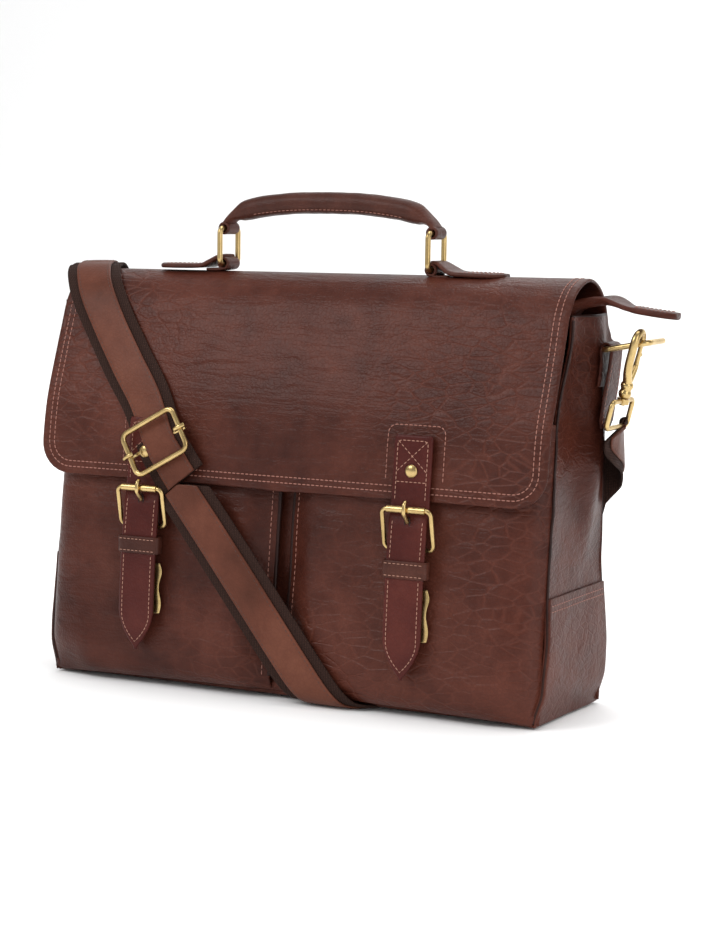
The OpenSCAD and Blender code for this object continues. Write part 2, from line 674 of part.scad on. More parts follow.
hook_lean_right = 14;
hook_reach = 26.5;         // how far out along the ring the right hook hangs
ring_side_right = [tab_loop_x + hook_reach * cos(ring_tilt_right), tab_y - side_ring_wide / 2,
  tab_loop_z + hook_reach * sin(ring_tilt_right)];
module at_right_hook() translate(ring_side_right) rotate([0, hook_lean_right, 0])
  rotate([0, 0, 90]) children();

hook_drop_left = 45;
ring_mid_left = [-tab_loop_x - side_ring_len / 2 * cos(ring_tilt_left),
  tab_y + side_ring_wide / 2, tab_loop_z + side_ring_len / 2 * sin(ring_tilt_left)];
module at_left_hook() translate(ring_mid_left) rotate([hook_drop_left, 0, 0]) children();

module snap_hook_right() at_right_hook() snap_hook();
module hook_gate_right() at_right_hook() hook_gate();
module hook_loop_right() at_right_hook() hook_loop();
module snap_hook_left() at_left_hook() snap_hook();
module hook_gate_left() at_left_hook() hook_gate();
module hook_loop_left() at_left_hook() hook_loop();

bottom_panel();
base_board();
front_panel();
back_panel();
gusset_left();
gusset_right();
lining();
gusset_patch_left();
gusset_patch_right();
pocket_left();
pocket_right();
side_tab_left();
side_tab_right();
zip_binding();
zip_tail();
catch_left();
catch_right();
strap_front_lower();
strap_underneath();
strap_back_run();
strap_end_right();
strap_end_left();
hook_loop_left();
hook_loop_right();
zip_leaf_front();
zip_leaf_back();
zip_slider();
zip_pull();
flap();
flap_lining();
handle_base_left();
handle_base_right();
closing_strap_left();
closing_strap_right();
strap_rivet_left();
strap_rivet_right();
chape_left();
chape_right();
keeper_left();
keeper_right();
buckle_frame_left();
buckle_frame_right();
buckle_roller_left();
buckle_roller_right();
buckle_prong_left();
buckle_prong_right();
clip_lever_left();
clip_lever_right();
strap_over_flap();
strap_slider();
handle_ring_left();
handle_ring_right();
handle_cover();
handle_core();
side_ring_left();
side_ring_right();
snap_hook_left();
snap_hook_right();
hook_gate_left();
hook_gate_right();
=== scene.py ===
import json
from math import copysign, cos, exp, pi, radians, sin, sqrt

import bmesh
import bpy
import numpy as np
from mathutils import Matrix, Vector, noise
from numpy import linspace


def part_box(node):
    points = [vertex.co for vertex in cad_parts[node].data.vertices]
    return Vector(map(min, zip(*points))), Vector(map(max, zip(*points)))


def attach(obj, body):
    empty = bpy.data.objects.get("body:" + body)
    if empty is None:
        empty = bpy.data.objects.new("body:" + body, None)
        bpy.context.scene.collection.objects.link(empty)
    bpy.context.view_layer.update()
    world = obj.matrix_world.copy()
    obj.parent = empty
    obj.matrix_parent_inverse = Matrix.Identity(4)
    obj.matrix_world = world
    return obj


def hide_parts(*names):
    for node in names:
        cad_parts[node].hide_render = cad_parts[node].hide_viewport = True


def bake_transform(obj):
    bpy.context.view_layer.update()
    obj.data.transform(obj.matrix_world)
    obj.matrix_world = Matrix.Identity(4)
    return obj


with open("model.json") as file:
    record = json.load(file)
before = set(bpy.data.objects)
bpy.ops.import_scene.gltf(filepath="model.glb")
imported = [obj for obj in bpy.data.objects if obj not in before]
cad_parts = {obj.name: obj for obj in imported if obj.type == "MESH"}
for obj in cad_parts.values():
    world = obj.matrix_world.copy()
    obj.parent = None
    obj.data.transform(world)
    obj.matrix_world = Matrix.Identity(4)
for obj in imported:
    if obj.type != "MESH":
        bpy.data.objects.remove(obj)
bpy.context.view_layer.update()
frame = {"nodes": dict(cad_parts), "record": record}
MM = 0.001


# ---- camera ----

def set_camera():
    """The view that the object is shown from: low, and from the right of the front."""
    yaw, pitch, roll = radians(-27.7), radians(-6.4), radians(0.9)
    forward = Vector((sin(yaw) * cos(pitch), cos(yaw) * cos(pitch), sin(pitch)))
    side = Vector((cos(yaw), -sin(yaw), 0))
    up = side.cross(forward)
    right = side * cos(roll) + up * sin(roll)
    top = up * cos(roll) - side * sin(roll)
    data = bpy.data.cameras.new("camera")
    data.sensor_width = 36
    data.lens = 95.1
    cam = bpy.data.objects.new("camera", data)
    bpy.context.scene.collection.objects.link(cam)
    rotation = Matrix((right, top, -forward)).transposed().to_4x4()
    cam.matrix_world = Matrix.Translation((0.8522, -1.5653, 0.3654)) @ rotation
    bpy.context.scene.camera = cam
    bpy.context.scene.view_settings.view_transform = "Standard"


set_camera()


# ---- materials ----

class Nodes:
    """Short names for building one node material."""

    def __init__(self, name):
        self.mat = bpy.data.materials.new(name)
        self.mat.use_nodes = True
        self.tree = self.mat.node_tree
        self.out = self.tree.nodes["Principled BSDF"]
        self.coords = self.tree.nodes.new("ShaderNodeTexCoord").outputs["Object"]

    def add(self, kind, **inputs):
        node = self.tree.nodes.new("ShaderNode" + kind)
        for key, value in inputs.items():
            if key.startswith("_"):
                setattr(node, key[1:], value)
                continue
            socket = node.inputs[int(key[1:])] if key[0] == "i" and key[1:].isdigit() else node.inputs[key]
            self.put(socket, value)
        return node

    def put(self, socket, value):
        if isinstance(value, bpy.types.NodeSocket):
            self.tree.links.new(value, socket)
        else:
            socket.default_value = value

    def surface(self, **values):
        """Sets inputs of the Principled shader, with _ for each space in a name."""
        for key, value in values.items():
            self.put(self.out.inputs[key.replace("_", " ")], value)

    def times(self, a, b):
        return self.math("MULTIPLY", a, b)

    def scaled(self, sx, sy, sz, turn=(0, 0, 0)):
        node = self.add("Mapping", Vector=self.coords, Scale=(sx, sy, sz), Rotation=turn)
        return node.outputs["Vector"]

    def noise(self, vector, scale, detail=4.0, rough=0.55, distortion=0.0):
        node = self.add("TexNoise", Vector=vector, Scale=scale, Detail=detail, Roughness=rough,
                        Distortion=distortion)
        return node.outputs["Fac"]

    def cells(self, vector, scale, feature="DISTANCE_TO_EDGE", randomness=1.0):
        node = self.add("TexVoronoi", _feature=feature, Vector=vector, Scale=scale, Randomness=randomness)
        return node.outputs["Distance"]

    def ramp(self, value, stops):
        node = self.add("ValToRGB", Fac=value)
        ramp = node.color_ramp
        while len(ramp.elements) < len(stops):
            ramp.elements.new(0.5)
        for element, (place, colour) in zip(ramp.elements, stops):
            element.position = place
            element.color = colour if len(colour) == 4 else (*colour, 1)
        return node.outputs["Color"]

    def math(self, op, a, b=0.0, c=0.0):
        node = self.add("Math", _operation=op, i0=a, i1=b, i2=c)
        return node.outputs[0]

    def mix(self, fac, a, b, blend="MIX"):
        node = self.add("Mix", _data_type="RGBA", _blend_type=blend)
        self.put(node.inputs[0], fac)
        self.put(node.inputs[6], a)
        self.put(node.inputs[7], b)
        return node.outputs[2]

    def bump(self, height, strength, distance, normal=None):
        node = self.add("Bump", Height=height, Strength=strength, Distance=distance)
        if normal is not None:
            self.put(node.inputs["Normal"], normal)
        return node.outputs["Normal"]


def bend(n, vector, amount, scale):
    """Coordinates pushed about by noise, so that creases wander."""
    wander = n.add("TexNoise", Vector=vector, Scale=scale, Detail=2.0)
    centred = n.add("VectorMath", _operation="SUBTRACT", i0=wander.outputs["Color"], i1=(0.5, 0.5, 0.5))
    pushed = n.add("VectorMath", _operation="SCALE", i0=centred.outputs[0])
    n.put(pushed.inputs["Scale"], amount)
    return n.add("VectorMath", _operation="ADD", i0=vector, i1=pushed.outputs[0]).outputs[0]


def leather_material(name, dark, middle, light, creases=1.0, grain=1.0, rough=0.42, coat=0.25, turn=0.0):
    """Waxed leather: fine grain, wandering creases that come and go, worn ridges and a soft coat."""
    n = Nodes(name)
    even = bend(n, n.scaled(1, 1, 1, (0, turn, 0)), 0.010, 26.0)
    long_way = bend(n, n.scaled(0.6, 0.9, 1.25, (0, turn, 0)), 0.016, 18.0)
    waves = bend(n, n.scaled(0.30, 1, 1.6, (0, turn, 0)), 0.012, 30.0)
    patches = n.noise(even, 7.0, 5.0, 0.6)
    blotch = n.noise(even, 30.0, 4.0, 0.65)
    crease = n.cells(long_way, 105.0)
    crease_line = n.ramp(crease, [(0.0, (0, 0, 0)), (0.10, (1, 1, 1))])
    fine = n.cells(even, 330.0)
    fine_line = n.ramp(fine, [(0.0, (0, 0, 0)), (0.20, (1, 1, 1))])
    ripple = n.noise(waves, 95.0, 3.0, 0.6, 0.4)
    where = n.ramp(n.noise(even, 5.0, 2.0), [(0.42, (0, 0, 0)), (0.64, (1, 1, 1))])
    deep = n.times(where, creases)
    pores = n.noise(even, 1000.0, 3.0, 0.7)
    tone = n.ramp(n.math("ADD", n.times(patches, 0.55), n.times(blotch, 0.45)),
                  [(0.34, dark), (0.50, middle), (0.67, light)])
    gap = n.math("SUBTRACT", 1.0, crease_line)
    worn = n.mix(n.times(gap, n.times(deep, 0.55)), tone, (*light, 1))
    worn = n.mix(n.times(n.math("SUBTRACT", 1.0, fine_line), 0.20 * grain), worn, (*dark, 1))
    n.surface(Base_Color=worn, Roughness=n.math("ADD", rough - 0.10, n.times(blotch, 0.2)),
              Specular_IOR_Level=0.14, Coat_Weight=coat, Coat_Roughness=0.26)
    normal = n.bump(pores, 0.16 * grain, 0.0003)
    normal = n.bump(fine_line, 0.30 * grain, 0.0003, normal)
    normal = n.bump(n.times(crease_line, deep), 0.5, 0.0006, normal)
    normal = n.bump(ripple, 0.42 * creases, 0.0022, normal)
    n.surface(Normal=normal, Coat_Normal=normal)
    return n.mat


def cloth_material(name, colour, light, pitch=900.0, turn=0.0):
    """Woven cloth or webbing: ribs one way, a finer weave the other."""
    n = Nodes(name)
    place = n.scaled(1, 1, 1, (0, turn, 0))
    ribs = n.add("TexWave", _wave_type="BANDS", _bands_direction="X", Vector=place, Scale=pitch * 0.18,
                 Distortion=0.4).outputs["Fac"]
    weft = n.add("TexWave", _wave_type="BANDS", _bands_direction="Z", Vector=place, Scale=pitch * 0.3,
                 Distortion=0.3).outputs["Fac"]
    weave = n.times(ribs, weft)
    fuzz = n.noise(place, 700.0, 4.0, 0.7)
    tone = n.mix(n.math("ADD", n.times(weave, 0.5), n.times(fuzz, 0.5)), (*colour, 1),
                 (*light, 1))
    n.surface(Base_Color=tone, Roughness=0.85, Specular_IOR_Level=0.1)
    normal = n.bump(weave, 0.6, 0.0006)
    normal = n.bump(fuzz, 0.25, 0.0004, normal)
    n.surface(Normal=normal)
    return n.mat


def metal_material(name, colour, dull, rough=0.27):
    """Satin metal with handling marks and slightly dulled patches."""
    n = Nodes(name)
    place = n.scaled(1, 1, 1)
    patches = n.noise(place, 60.0, 4.0, 0.6)
    scratches = n.noise(n.scaled(1, 1, 9, (0.4, 0.3, 0)), 420.0, 3.0, 0.7)
    tone = n.mix(n.ramp(patches, [(0.38, (0, 0, 0)), (0.7, (1, 1, 1))]), (*colour, 1), (*dull, 1))
    n.surface(Base_Color=tone, Metallic=1.0, Roughness=n.math("ADD", rough - 0.06, n.times(scratches, 0.16)),
              Normal=n.bump(scratches, 0.12, 0.0002))
    return n.mat


def thread_material(name, colour, light):
    n = Nodes(name)
    twist = n.noise(n.scaled(1, 1, 1), 1400.0, 2.0)
    n.surface(Base_Color=n.mix(twist, (*colour, 1), (*light, 1)), Roughness=0.6,
              Normal=n.bump(twist, 0.3, 0.0002))
    return n.mat


def plain_material(name, colour, rough):
    n = Nodes(name)
    n.surface(Base_Color=(*colour, 1))
    n.surface(Roughness=n.math("ADD", rough, n.math("MULTIPLY",
            n.noise(n.scaled(1, 1, 1), 5.0), 0.05)))
    return n.mat


LEATHER = leather_material("leather", (0.032, 0.0075, 0.0045), (0.062, 0.0155, 0.009),
                           (0.100, 0.028, 0.017), 1.15, 1.0, 0.40, 0.05)
DARK = leather_material("dark_leather", (0.020, 0.005, 0.003), (0.040, 0.010, 0.0065),
                        (0.066, 0.019, 0.012), 0.8, 1.0, 0.42, 0.05)
RED = leather_material("red_leather", (0.036, 0.005, 0.004), (0.058, 0.0095, 0.007), (0.090, 0.018, 0.012),
                       0.2, 0.8, 0.38, 0.05)
STRAP = leather_material("strap_leather", (0.058, 0.0165, 0.0085), (0.098, 0.029, 0.016),
                         (0.140, 0.047, 0.027), 0.15, 0.8, 0.48, 0.03)
GRIP = leather_material("grip_leather", (0.026, 0.007, 0.0045), (0.050, 0.015, 0.0095),
                        (0.090, 0.029, 0.019), 0.5, 1.0, 0.42, 0.05)
WEBBING = cloth_material("webbing", (0.007, 0.0035, 0.0028), (0.058, 0.028, 0.021))
CLOTH = cloth_material("lining_cloth", (0.030, 0.022, 0.018), (0.070, 0.052, 0.042), 600.0)
BRASS = metal_material("brass", (0.62, 0.45, 0.20), (0.42, 0.29, 0.12))
THREAD = thread_material("thread", (0.22, 0.085, 0.060), (0.36, 0.16, 0.12))
DARK_THREAD = thread_material("dark_thread", (0.030, 0.014, 0.010), (0.07, 0.03, 0.02))
PALE_THREAD = thread_material("strap_thread", (0.30, 0.14, 0.09), (0.46, 0.25, 0.18))
EDGE = leather_material("edge_leather", (0.012, 0.004, 0.003), (0.022, 0.007, 0.005), (0.034, 0.012, 0.008),
                        0.2, 0.6, 0.5, 0.15)
BOARD = plain_material("board", (0.02, 0.018, 0.016), 0.7)
SLOT_OF = {"leather": LEATHER, "dark_leather": DARK, "strap_leather": STRAP, "webbing": WEBBING,
           "lining_cloth": CLOTH, "board": BOARD, "brass": BRASS}


# ---- geometry ----

def add_object(name, data):
    obj = bpy.data.objects.new(name, data)
    bpy.context.scene.collection.objects.link(obj)
    return obj


def make(name, verts, faces, material, body=None, stands_for=(), solid=True):
    """A mesh from points in millimetres. A closed one gets its faces turned outwards."""
    data = bpy.data.meshes.new(name)
    data.from_pydata([tuple(float(c) * MM for c in v) for v in verts], [], faces)
    if solid:
        work = bmesh.new()
        work.from_mesh(data)
        bmesh.ops.recalc_face_normals(work, faces=work.faces)
        work.to_mesh(data)
        work.free()
    data.polygons.foreach_set("use_smooth", [True] * len(data.polygons))
    data.materials.append(material)
    obj = add_object(name, data)
    if stands_for:
        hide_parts(*stands_for)
    if body:
        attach(obj, body)
    return obj


def unit(v):
    v = np.asarray(v, float)
    return v / np.maximum(np.linalg.norm(v, axis=-1, keepdims=True), 1e-9)


def smooth_path(points, count):
    """A Catmull-Rom curve through the points, as count points at equal spacing."""
    p = np.asarray(points, float)
    p = np.vstack([2 * p[0] - p[1], p, 2 * p[-1] - p[-2]])
    dense = []
    for i in range(1, len(p) - 2):
        for t in linspace(0, 1, 24, endpoint=False):
            a, b, c, d = p[i - 1], p[i], p[i + 1], p[i + 2]
            dense.append(0.5 * (2 * b + (c - a) * t + (2 * a - 5 * b + 4 * c - d) * t * t
                                + (3 * b - a - 3 * c + d) * t ** 3))
    dense.append(p[-2])
    dense = np.array(dense)
    return even(dense, count)


def even(points, count):
    """The same polyline as count points at equal spacing."""
    points = np.asarray(points, float)
    run = np.concatenate([[0], np.cumsum(np.linalg.norm(np.diff(points, axis=0), axis=1))])
    where = linspace(0, run[-1], count)
    return np.stack([np.interp(where, run, points[:, k]) for k in range(points.shape[1])], axis=1)


def turns(count):
    """Angles of count points evenly round a circle."""
    return linspace(0, 2 * pi, count, endpoint=False)


def with_normals(stations, count):
    """A smooth path and the normals along it, from stations (x, y, z, normal)."""
    full = smooth_path([(x, y, z, *n) for x, y, z, n in stations], count)
    return full[:, :3], full[:, 3:]


def wave(x, y, z, size, amount, seed=0.0):
    """Smooth noise, in millimetres, for a point in millimetres."""
    return amount * noise.noise(Vector((x / size + seed, y / size + 2 * seed, z / size - seed)))


def shell(name, grid, thick, material, body=None, stands_for=(), flip=False):
    """A sheet of leather from a grid of points on its outer face, with a rounded rim."""
    g = np.asarray(grid, float)
    m, n = g.shape[:2]
    nrm = unit(np.cross(np.gradient(g, axis=0), np.gradient(g, axis=1)))
    if flip:
        nrm = -nrm
    inner = g - nrm * thick
    loop = [(i, 0) for i in range(m)] + [(m - 1, j) for j in range(1, n)]
    loop += [(i, n - 1) for i in range(m - 2, -1, -1)] + [(0, j) for j in range(n - 2, 0, -1)]
    verts = list(g.reshape(-1, 3)) + list(inner.reshape(-1, 3))
    faces = []
    for i in range(m - 1):
        for j in range(n - 1):
            a, b, c, d = i * n + j, (i + 1) * n + j, (i + 1) * n + j + 1, i * n + j + 1
            faces.append((a, b, c, d))
            faces.append((a + m * n, d + m * n, c + m * n, b + m * n))
    rings = [[i * n + j for i, j in loop]]
    for angle in (45, 90, 135):
        ring = []
        for i, j in loop:
            ii = min(max(i, 1), m - 2)
            jj = min(max(j, 1), n - 2)
            out = unit(g[i, j] - g[ii, jj])
            out = unit(out - nrm[i, j] * np.dot(out, nrm[i, j]))
            a = radians(angle)
            middle = g[i, j] - nrm[i, j] * thick / 2
            ring.append(len(verts))
            verts.append(middle + nrm[i, j] * thick / 2 * cos(a) + out * thick / 2 * sin(a))
        rings.append(ring)
    rings.append([i * n + j + m * n for i, j in loop])
    k = len(loop)
    for a, b in zip(rings, rings[1:]):
        for q in range(k):
            faces.append((a[q], a[(q + 1) % k], b[(q + 1) % k], b[q]))
    return make(name, verts, faces, material, body, stands_for)


def strip_section(width, thick, dome=0.0):
    """Half-round edges and a slightly domed middle, as (across, up) offsets."""
    w, t = width / 2, thick / 2
    pts = []
    for a in linspace(0, 1, 9):
        x = -w + t + a * (2 * w - 2 * t)
        pts.append((x, t + dome * (1 - (2 * a - 1) ** 2)))
    for a in (45, 90, 135):
        pts.append((w - t + t * sin(radians(a)), t * cos(radians(a))))
    for a in linspace(1, 0, 9):
        pts.append((-w + t + a * (2 * w - 2 * t), -t))
    for a in (135, 90, 45):
        pts.append((-w + t - t * sin(radians(a)), t * cos(radians(a))))
    return pts


def round_section(r, flat=1.0, count=20):
    return [(r * cos(2 * pi * k / count), r * flat * sin(2 * pi * k / count)) for k in range(count)]


def sweep(name, path, across, sections, material, body=None, stands_for=(), closed=False, lay=None):
    """Sweeps a section along a path. across is one direction or one per point, and lay moves each point."""
    path = np.asarray(path, float)
    count = len(path)
    if closed:
        tangent = unit(np.roll(path, -1, axis=0) - np.roll(path, 1, axis=0))
    else:
        tangent = unit(np.gradient(path, axis=0))
    across = np.broadcast_to(np.asarray(across, float), path.shape)
    across = unit(across - tangent * np.sum(across * tangent, axis=1, keepdims=True))
    up = np.cross(across, tangent)
    if not isinstance(sections[0][0], (list, tuple, np.ndarray)):
        sections = [sections] * count
    k = len(sections[0])
    verts = [path[i] + across[i] * a + up[i] * b for i in range(count) for a, b in sections[i]]
    if lay:
        verts = [lay(v) for v in verts]
    faces = []
    for i in range(count if closed else count - 1):
        j = (i + 1) % count
        for q in range(k):
            faces.append((i * k + q, i * k + (q + 1) % k, j * k + (q + 1) % k, j * k + q))
    if not closed:
        faces.append(tuple(range(k)))
        faces.append(tuple((count - 1) * k + q for q in reversed(range(k))))
    return make(name, verts, faces, material, body, stands_for)


def tube(name, path, radius, material, body=None, stands_for=(), closed=False, across=(0, 1, 0)):
    return sweep(name, path, across, round_section(radius, 1.0, 14), material, body, stands_for, closed)


def join(name, parts):
    """One object from several meshes, with their materials. Only the first part's settings stay."""
    keep = parts[0]
    work = bmesh.new()
    materials = []
    for obj in parts:
        start = len(work.faces)
        work.from_mesh(obj.data)
        work.faces.ensure_lookup_table()
        for f in work.faces[start:]:
            mat = obj.data.materials[f.material_index]
            if mat not in materials:
                materials.append(mat)
            f.material_index = materials.index(mat)
    work.to_mesh(keep.data)
    work.free()
    keep.data.materials.clear()
    for mat in materials:
        keep.data.materials.append(mat)
    for obj in parts[1:]:
        bpy.data.objects.remove(obj)
    keep.name = name
    return keep


STITCH_SIDES = 6
INSIDE_Z = 240.0            # a height inside the flap's curve, from which its outer side is found


def stitches(name, rows, body=None, material=None, length=3.0, gap=1.1, width=0.75, sink=0.05):
    """Threads along rows. A row is (points, normals): each thread is a small spindle bedded in the leather."""
    verts, faces = [], []
    for points, normals in rows:
        points = np.asarray(points, float)
        normals = np.broadcast_to(np.asarray(normals, float), points.shape)
        run = np.concatenate([[0], np.cumsum(np.linalg.norm(np.diff(points, axis=0), axis=1))])
        count = max(1, int((run[-1] + gap) // (length + gap)))
        pitch = run[-1] / count
        for c in range(count):
            ends = []
            for t in (0.0, 0.18, 0.5, 0.82, 1.0):
                s = c * pitch + (pitch - length) / 2 + t * length
                p = np.array([np.interp(s, run, points[:, q]) for q in range(3)])
                nn = unit(np.array([np.interp(s, run, normals[:, q]) for q in range(3)]))
                ends.append((p, nn, t))
            direction = unit(ends[-1][0] - ends[0][0])
            base = len(verts)
            for p, nn, t in ends:
                fat = sin(pi * (0.08 + 0.84 * t)) ** 0.5
                r = width / 2 * fat
                lift = width * 0.28 * (fat - 0.75) - sink
                side = unit(np.cross(direction, nn))
                for q in range(STITCH_SIDES):
                    a = 2 * pi * q / STITCH_SIDES
                    verts.append(p + nn * (lift + r * sin(a)) + side * r * cos(a))
            for ring in range(4):
                for q in range(STITCH_SIDES):
                    a, b = base + ring * STITCH_SIDES, base + (ring + 1) * STITCH_SIDES
                    faces.append((a + q, a + (q + 1) % STITCH_SIDES, b + (q + 1) % STITCH_SIDES, b + q))
            faces.append(tuple(base + q for q in range(STITCH_SIDES)))
            faces.append(tuple(base + 4 * STITCH_SIDES + q for q in reversed(range(STITCH_SIDES))))
    return make(name, verts, faces, material or THREAD, body)


def on_grid(fn, points, lift=0.0):
    """Points and normals on a surface fn(u, v) for a list of (u, v)."""
    pts, nrm = [], []
    for u, v in points:
        p = np.array(fn(u, v))
        du = np.array(fn(u + 0.5, v)) - p
        dv = np.array(fn(u, v + 0.5)) - p
        n = unit(np.cross(du, dv))
        pts.append(p + n * lift)
        nrm.append(n)
    return pts, nrm


# ---- case ----

def front_y(z):
    return -54 + 28 * z / 280


def back_y(z):
    return 54 - 11 * z / 262


FLAP_LINE = smooth_path([(-63.2, 152.5), (-61.2, 170), (-57.0, 205), (-48.5, 234), (-39.5, 260), (-30.5, 283),
                         (-17, 297.5), (3, 304.4), (19, 301), (31, 292.5), (38.2, 281), (43.2, 266),
                         (45.6, 250)], 220)
FLAP_RUN = np.concatenate([[0], np.cumsum(np.linalg.norm(np.diff(FLAP_LINE, axis=0), axis=1))])
FLAP_END = FLAP_RUN[-1]
FLAP_HALF = 203.6
FLAP_CORNER = 24.0


def flap_point(x, s):
    """A point on the flap's outer face: x across, s along the leather from the lower edge."""
    y = np.interp(s, FLAP_RUN, FLAP_LINE[:, 0])
    z = np.interp(s, FLAP_RUN, FLAP_LINE[:, 1])
    soft = wave(x, 0, s, 70, 1.5, 3.1) + wave(x, 0, s, 28, 0.5, 9.7)
    free = max(0.0, 1 - s / 90)
    side = abs(x) / 205
    y += -soft * 0.8 - free * 1.6 * sin(x / 46 + 0.6) * 0.6
    y -= 2.2 * free * side ** 6
    z += 1.8 * x / 175 * exp(-((s - 175) / 45) ** 2)
    return (x + wave(0, x, s, 60, 0.8, 5.0), y, z)


def flap_half(s):
    """Half the flap's width at s, with its lower corners rounded."""
    if s >= FLAP_CORNER:
        return FLAP_HALF
    return FLAP_HALF - FLAP_CORNER + sqrt(max(0.0, FLAP_CORNER ** 2 - (FLAP_CORNER - s) ** 2))


def build_flap():
    rows = list(FLAP_CORNER * (1 - np.cos(linspace(0, pi / 2, 9)))) + list(linspace(26, FLAP_END, 90))
    grid = [[flap_point(flap_half(s) * u, s) for u in linspace(-1, 1, 150)] for s in rows]
    flap = shell("flap_leather", grid, 2.6, LEATHER, None, ("flap", "flap_lining"), flip=True)
    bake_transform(flap)
    lines = []
    for inset in (5.0, 9.2):
        half, corner = FLAP_HALF - inset, FLAP_CORNER - inset
        track = [(-half, s) for s in linspace(FLAP_END - 4, inset + corner, 90)]
        track += [(-half + corner - corner * sin(a), inset + corner - corner * cos(a) * 1.0)
                  for a in linspace(pi / 2, 0, 10)][1:]
        track += [(x, inset) for x in linspace(-half + corner, half - corner, 90)][1:]
        track += [(half - corner + corner * sin(a), inset + corner - corner * cos(a))
                  for a in linspace(0, pi / 2, 10)][1:]
        track += [(half, s) for s in linspace(inset + corner, FLAP_END - 4, 90)][1:]
        pts, nrm = on_grid(flap_point, track)
        lines.append((pts, nrm))
    lines.append(on_grid(flap_point, [(x, FLAP_END - 5) for x in linspace(-190, 190, 120)]))
    fixed = []
    for pts, nrm in lines:
        out = []
        for p, n in zip(pts, nrm):
            away = np.array([0, p[1], p[2] - INSIDE_Z])
            out.append(n if np.dot(n, away) > 0 else -n)
        fixed.append((pts, out))
    thread = stitches("flap_stitching", fixed, length=2.7, gap=0.9, width=0.85, sink=-0.05)
    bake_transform(thread)


build_flap()


def step(a, b, x):
    t = min(1.0, max(0.0, (x - a) / (b - a)))
    return t * t * (3 - 2 * t)


def tucked(x, z):
    """The case draws in towards its lower corners: x pulled towards the middle near the floor."""
    return x * (1 - 0.024 * (1 - step(0, 26, z)) * min(1.0, abs(x) / 200) ** 5)


def gusset_x(y, z):
    """How far the side wall stands from the middle: a soft ridge, and corners that flare."""
    fold = 11.5 * exp(-((y - 18) / 17) ** 2) * step(95, 200, z) * (1 - 0.3 * step(252, 282, z))
    front = 6.5 * exp(-((y - front_y(z)) / 9) ** 2) * step(200, 282, z)
    back = 7.0 * exp(-((y - back_y(z)) / 10) ** 2) * step(195, 268, z)
    sink = -2.0 * exp(-((y + 8) / 16) ** 2) * step(110, 190, z) * (1 - step(220, 270, z))
    belly = 2.2 * sin(pi * min(1, z / 100)) ** 2
    return tucked(200.2, z) + fold + front + back + sink + belly


def gusset_point(side, y, z):
    x = gusset_x(y, z) + wave(side * 40, y, z, 34, 1.1, 2.2) + wave(side * 40, y, z, 14, 0.35, 8.1)
    return (side * x, y, z)


def gusset_top(a):
    """Back limit of the side wall as it rises past the back panel's top edge."""
    return 38 - 6 * step(0, 1, a)


def build_gussets():
    for side, tag in ((-1, "left"), (1, "right")):
        grid = []
        for z in list(linspace(2.5, 262, 70)) + list(linspace(264, 280, 7)):
            y1 = back_y(z) + 0.4 if z <= 262 else gusset_top((z - 262) / 18)
            grid.append([gusset_point(side, y, z) for y in linspace(front_y(z) - 0.4, y1, 48)])
        shell("gusset_leather_" + tag, grid, 3, LEATHER, "case", ("gusset_" + tag,),
              flip=side > 0)
        patch = []
        for z in linspace(2.2, 89, 26):
            row = []
            for y in linspace(front_y(z) - 0.9, back_y(z) + 0.9, 40):
                x, _, _ = gusset_point(side, y, z)
                row.append((x + side * 1.9, y, z))
            patch.append(row)
        shell("gusset_foot_" + tag, patch, 1.8, LEATHER, "case", ("gusset_patch_" + tag,),
              flip=side > 0)
        rows = []
        for z in (84.6, 80.6):
            ys = linspace(front_y(z) + 1, back_y(z) - 1, 60)
            rows.append(([(gusset_point(side, y, z)[0] + side * 2.0, y, z) for y in ys], (side, 0, 0)))
        stitches("gusset_foot_stitching_" + tag, rows, "case", THREAD)
        zs = linspace(4, 279, 90)
        edge = [(gusset_point(side, front_y(z), z)[0] - side * 0.3, front_y(z) - 1.0, z) for z in zs]
        tube("front_piping_" + tag, edge, 1.1, EDGE, "case", across=(1, 0, 0))
        zs = linspace(4, 262, 90)
        edge = [(gusset_point(side, back_y(z), z)[0] - side * 0.8, back_y(z) + 0.8, z) for z in zs]
        tube("back_piping_" + tag, edge, 1.3, EDGE, "case", across=(1, 0, 0))
        ys = linspace(front_y(280), 32, 40)
        rim = [(gusset_point(side, y, 280)[0] - side * 1.5, y, 280.6) for y in ys]
        tube("gusset_rim_" + tag, rim, 1.4, EDGE, "case", across=(1, 0, 0))


BASE_ARCH = 3.4


def floor_line(x):
    """The base's front edge arches up in the middle."""
    return BASE_ARCH * (1 - (x / 196) ** 2)


def build_walls():
    grid = [[(x, front_y(z) + wave(x, 0, z, 60, 0.5, 1.0), z) for x in linspace(-198, 198, 80)]
            for z in linspace(4, 262, 50)]
    shell("front_wall", grid, 2.8, LEATHER, "case", ("front_panel",), flip=True)
    grid = [[(x, back_y(z) - 0.3 + 1.4 * sin(pi * z / 262) * cos(x / 270) + wave(x, 3, z, 55, 1.1, 4.0), z)
             for x in linspace(-199, 199, 110)] for z in linspace(4, 261, 70)]
    shell("back_wall", grid, 2.8, LEATHER, "case", ("back_panel",))
    rows = []
    for sx in (-1, 1):
        rows.append(([(sx * 193, back_y(z) + 1.2 + 1.4 * sin(pi * z / 262), z) for z in linspace(10, 252,
                90)], (0, 1, 0)))
    profile = [(-55.8, 9.5), (-56.2, 6), (-54.6, 2.6), (-51, 1.0), (-40, 0.6), (0, 0.5), (40, 0.6),
               (51, 1.0), (54.4, 2.6), (55.4, 6), (54.2, 9.5)]
    line = smooth_path(profile, 60)
    grid = [[(tucked(x, z), y, z + floor_line(x) * (1 - step(-30, 10, y))) for x in linspace(-199, 199,
            90)] for y, z in line]
    shell("base_leather", grid, 2.4, LEATHER, "case", ("bottom_panel",), flip=False)
    stitches("back_stitching", rows, "case", THREAD)


build_gussets()
build_walls()


# ---- pockets ----

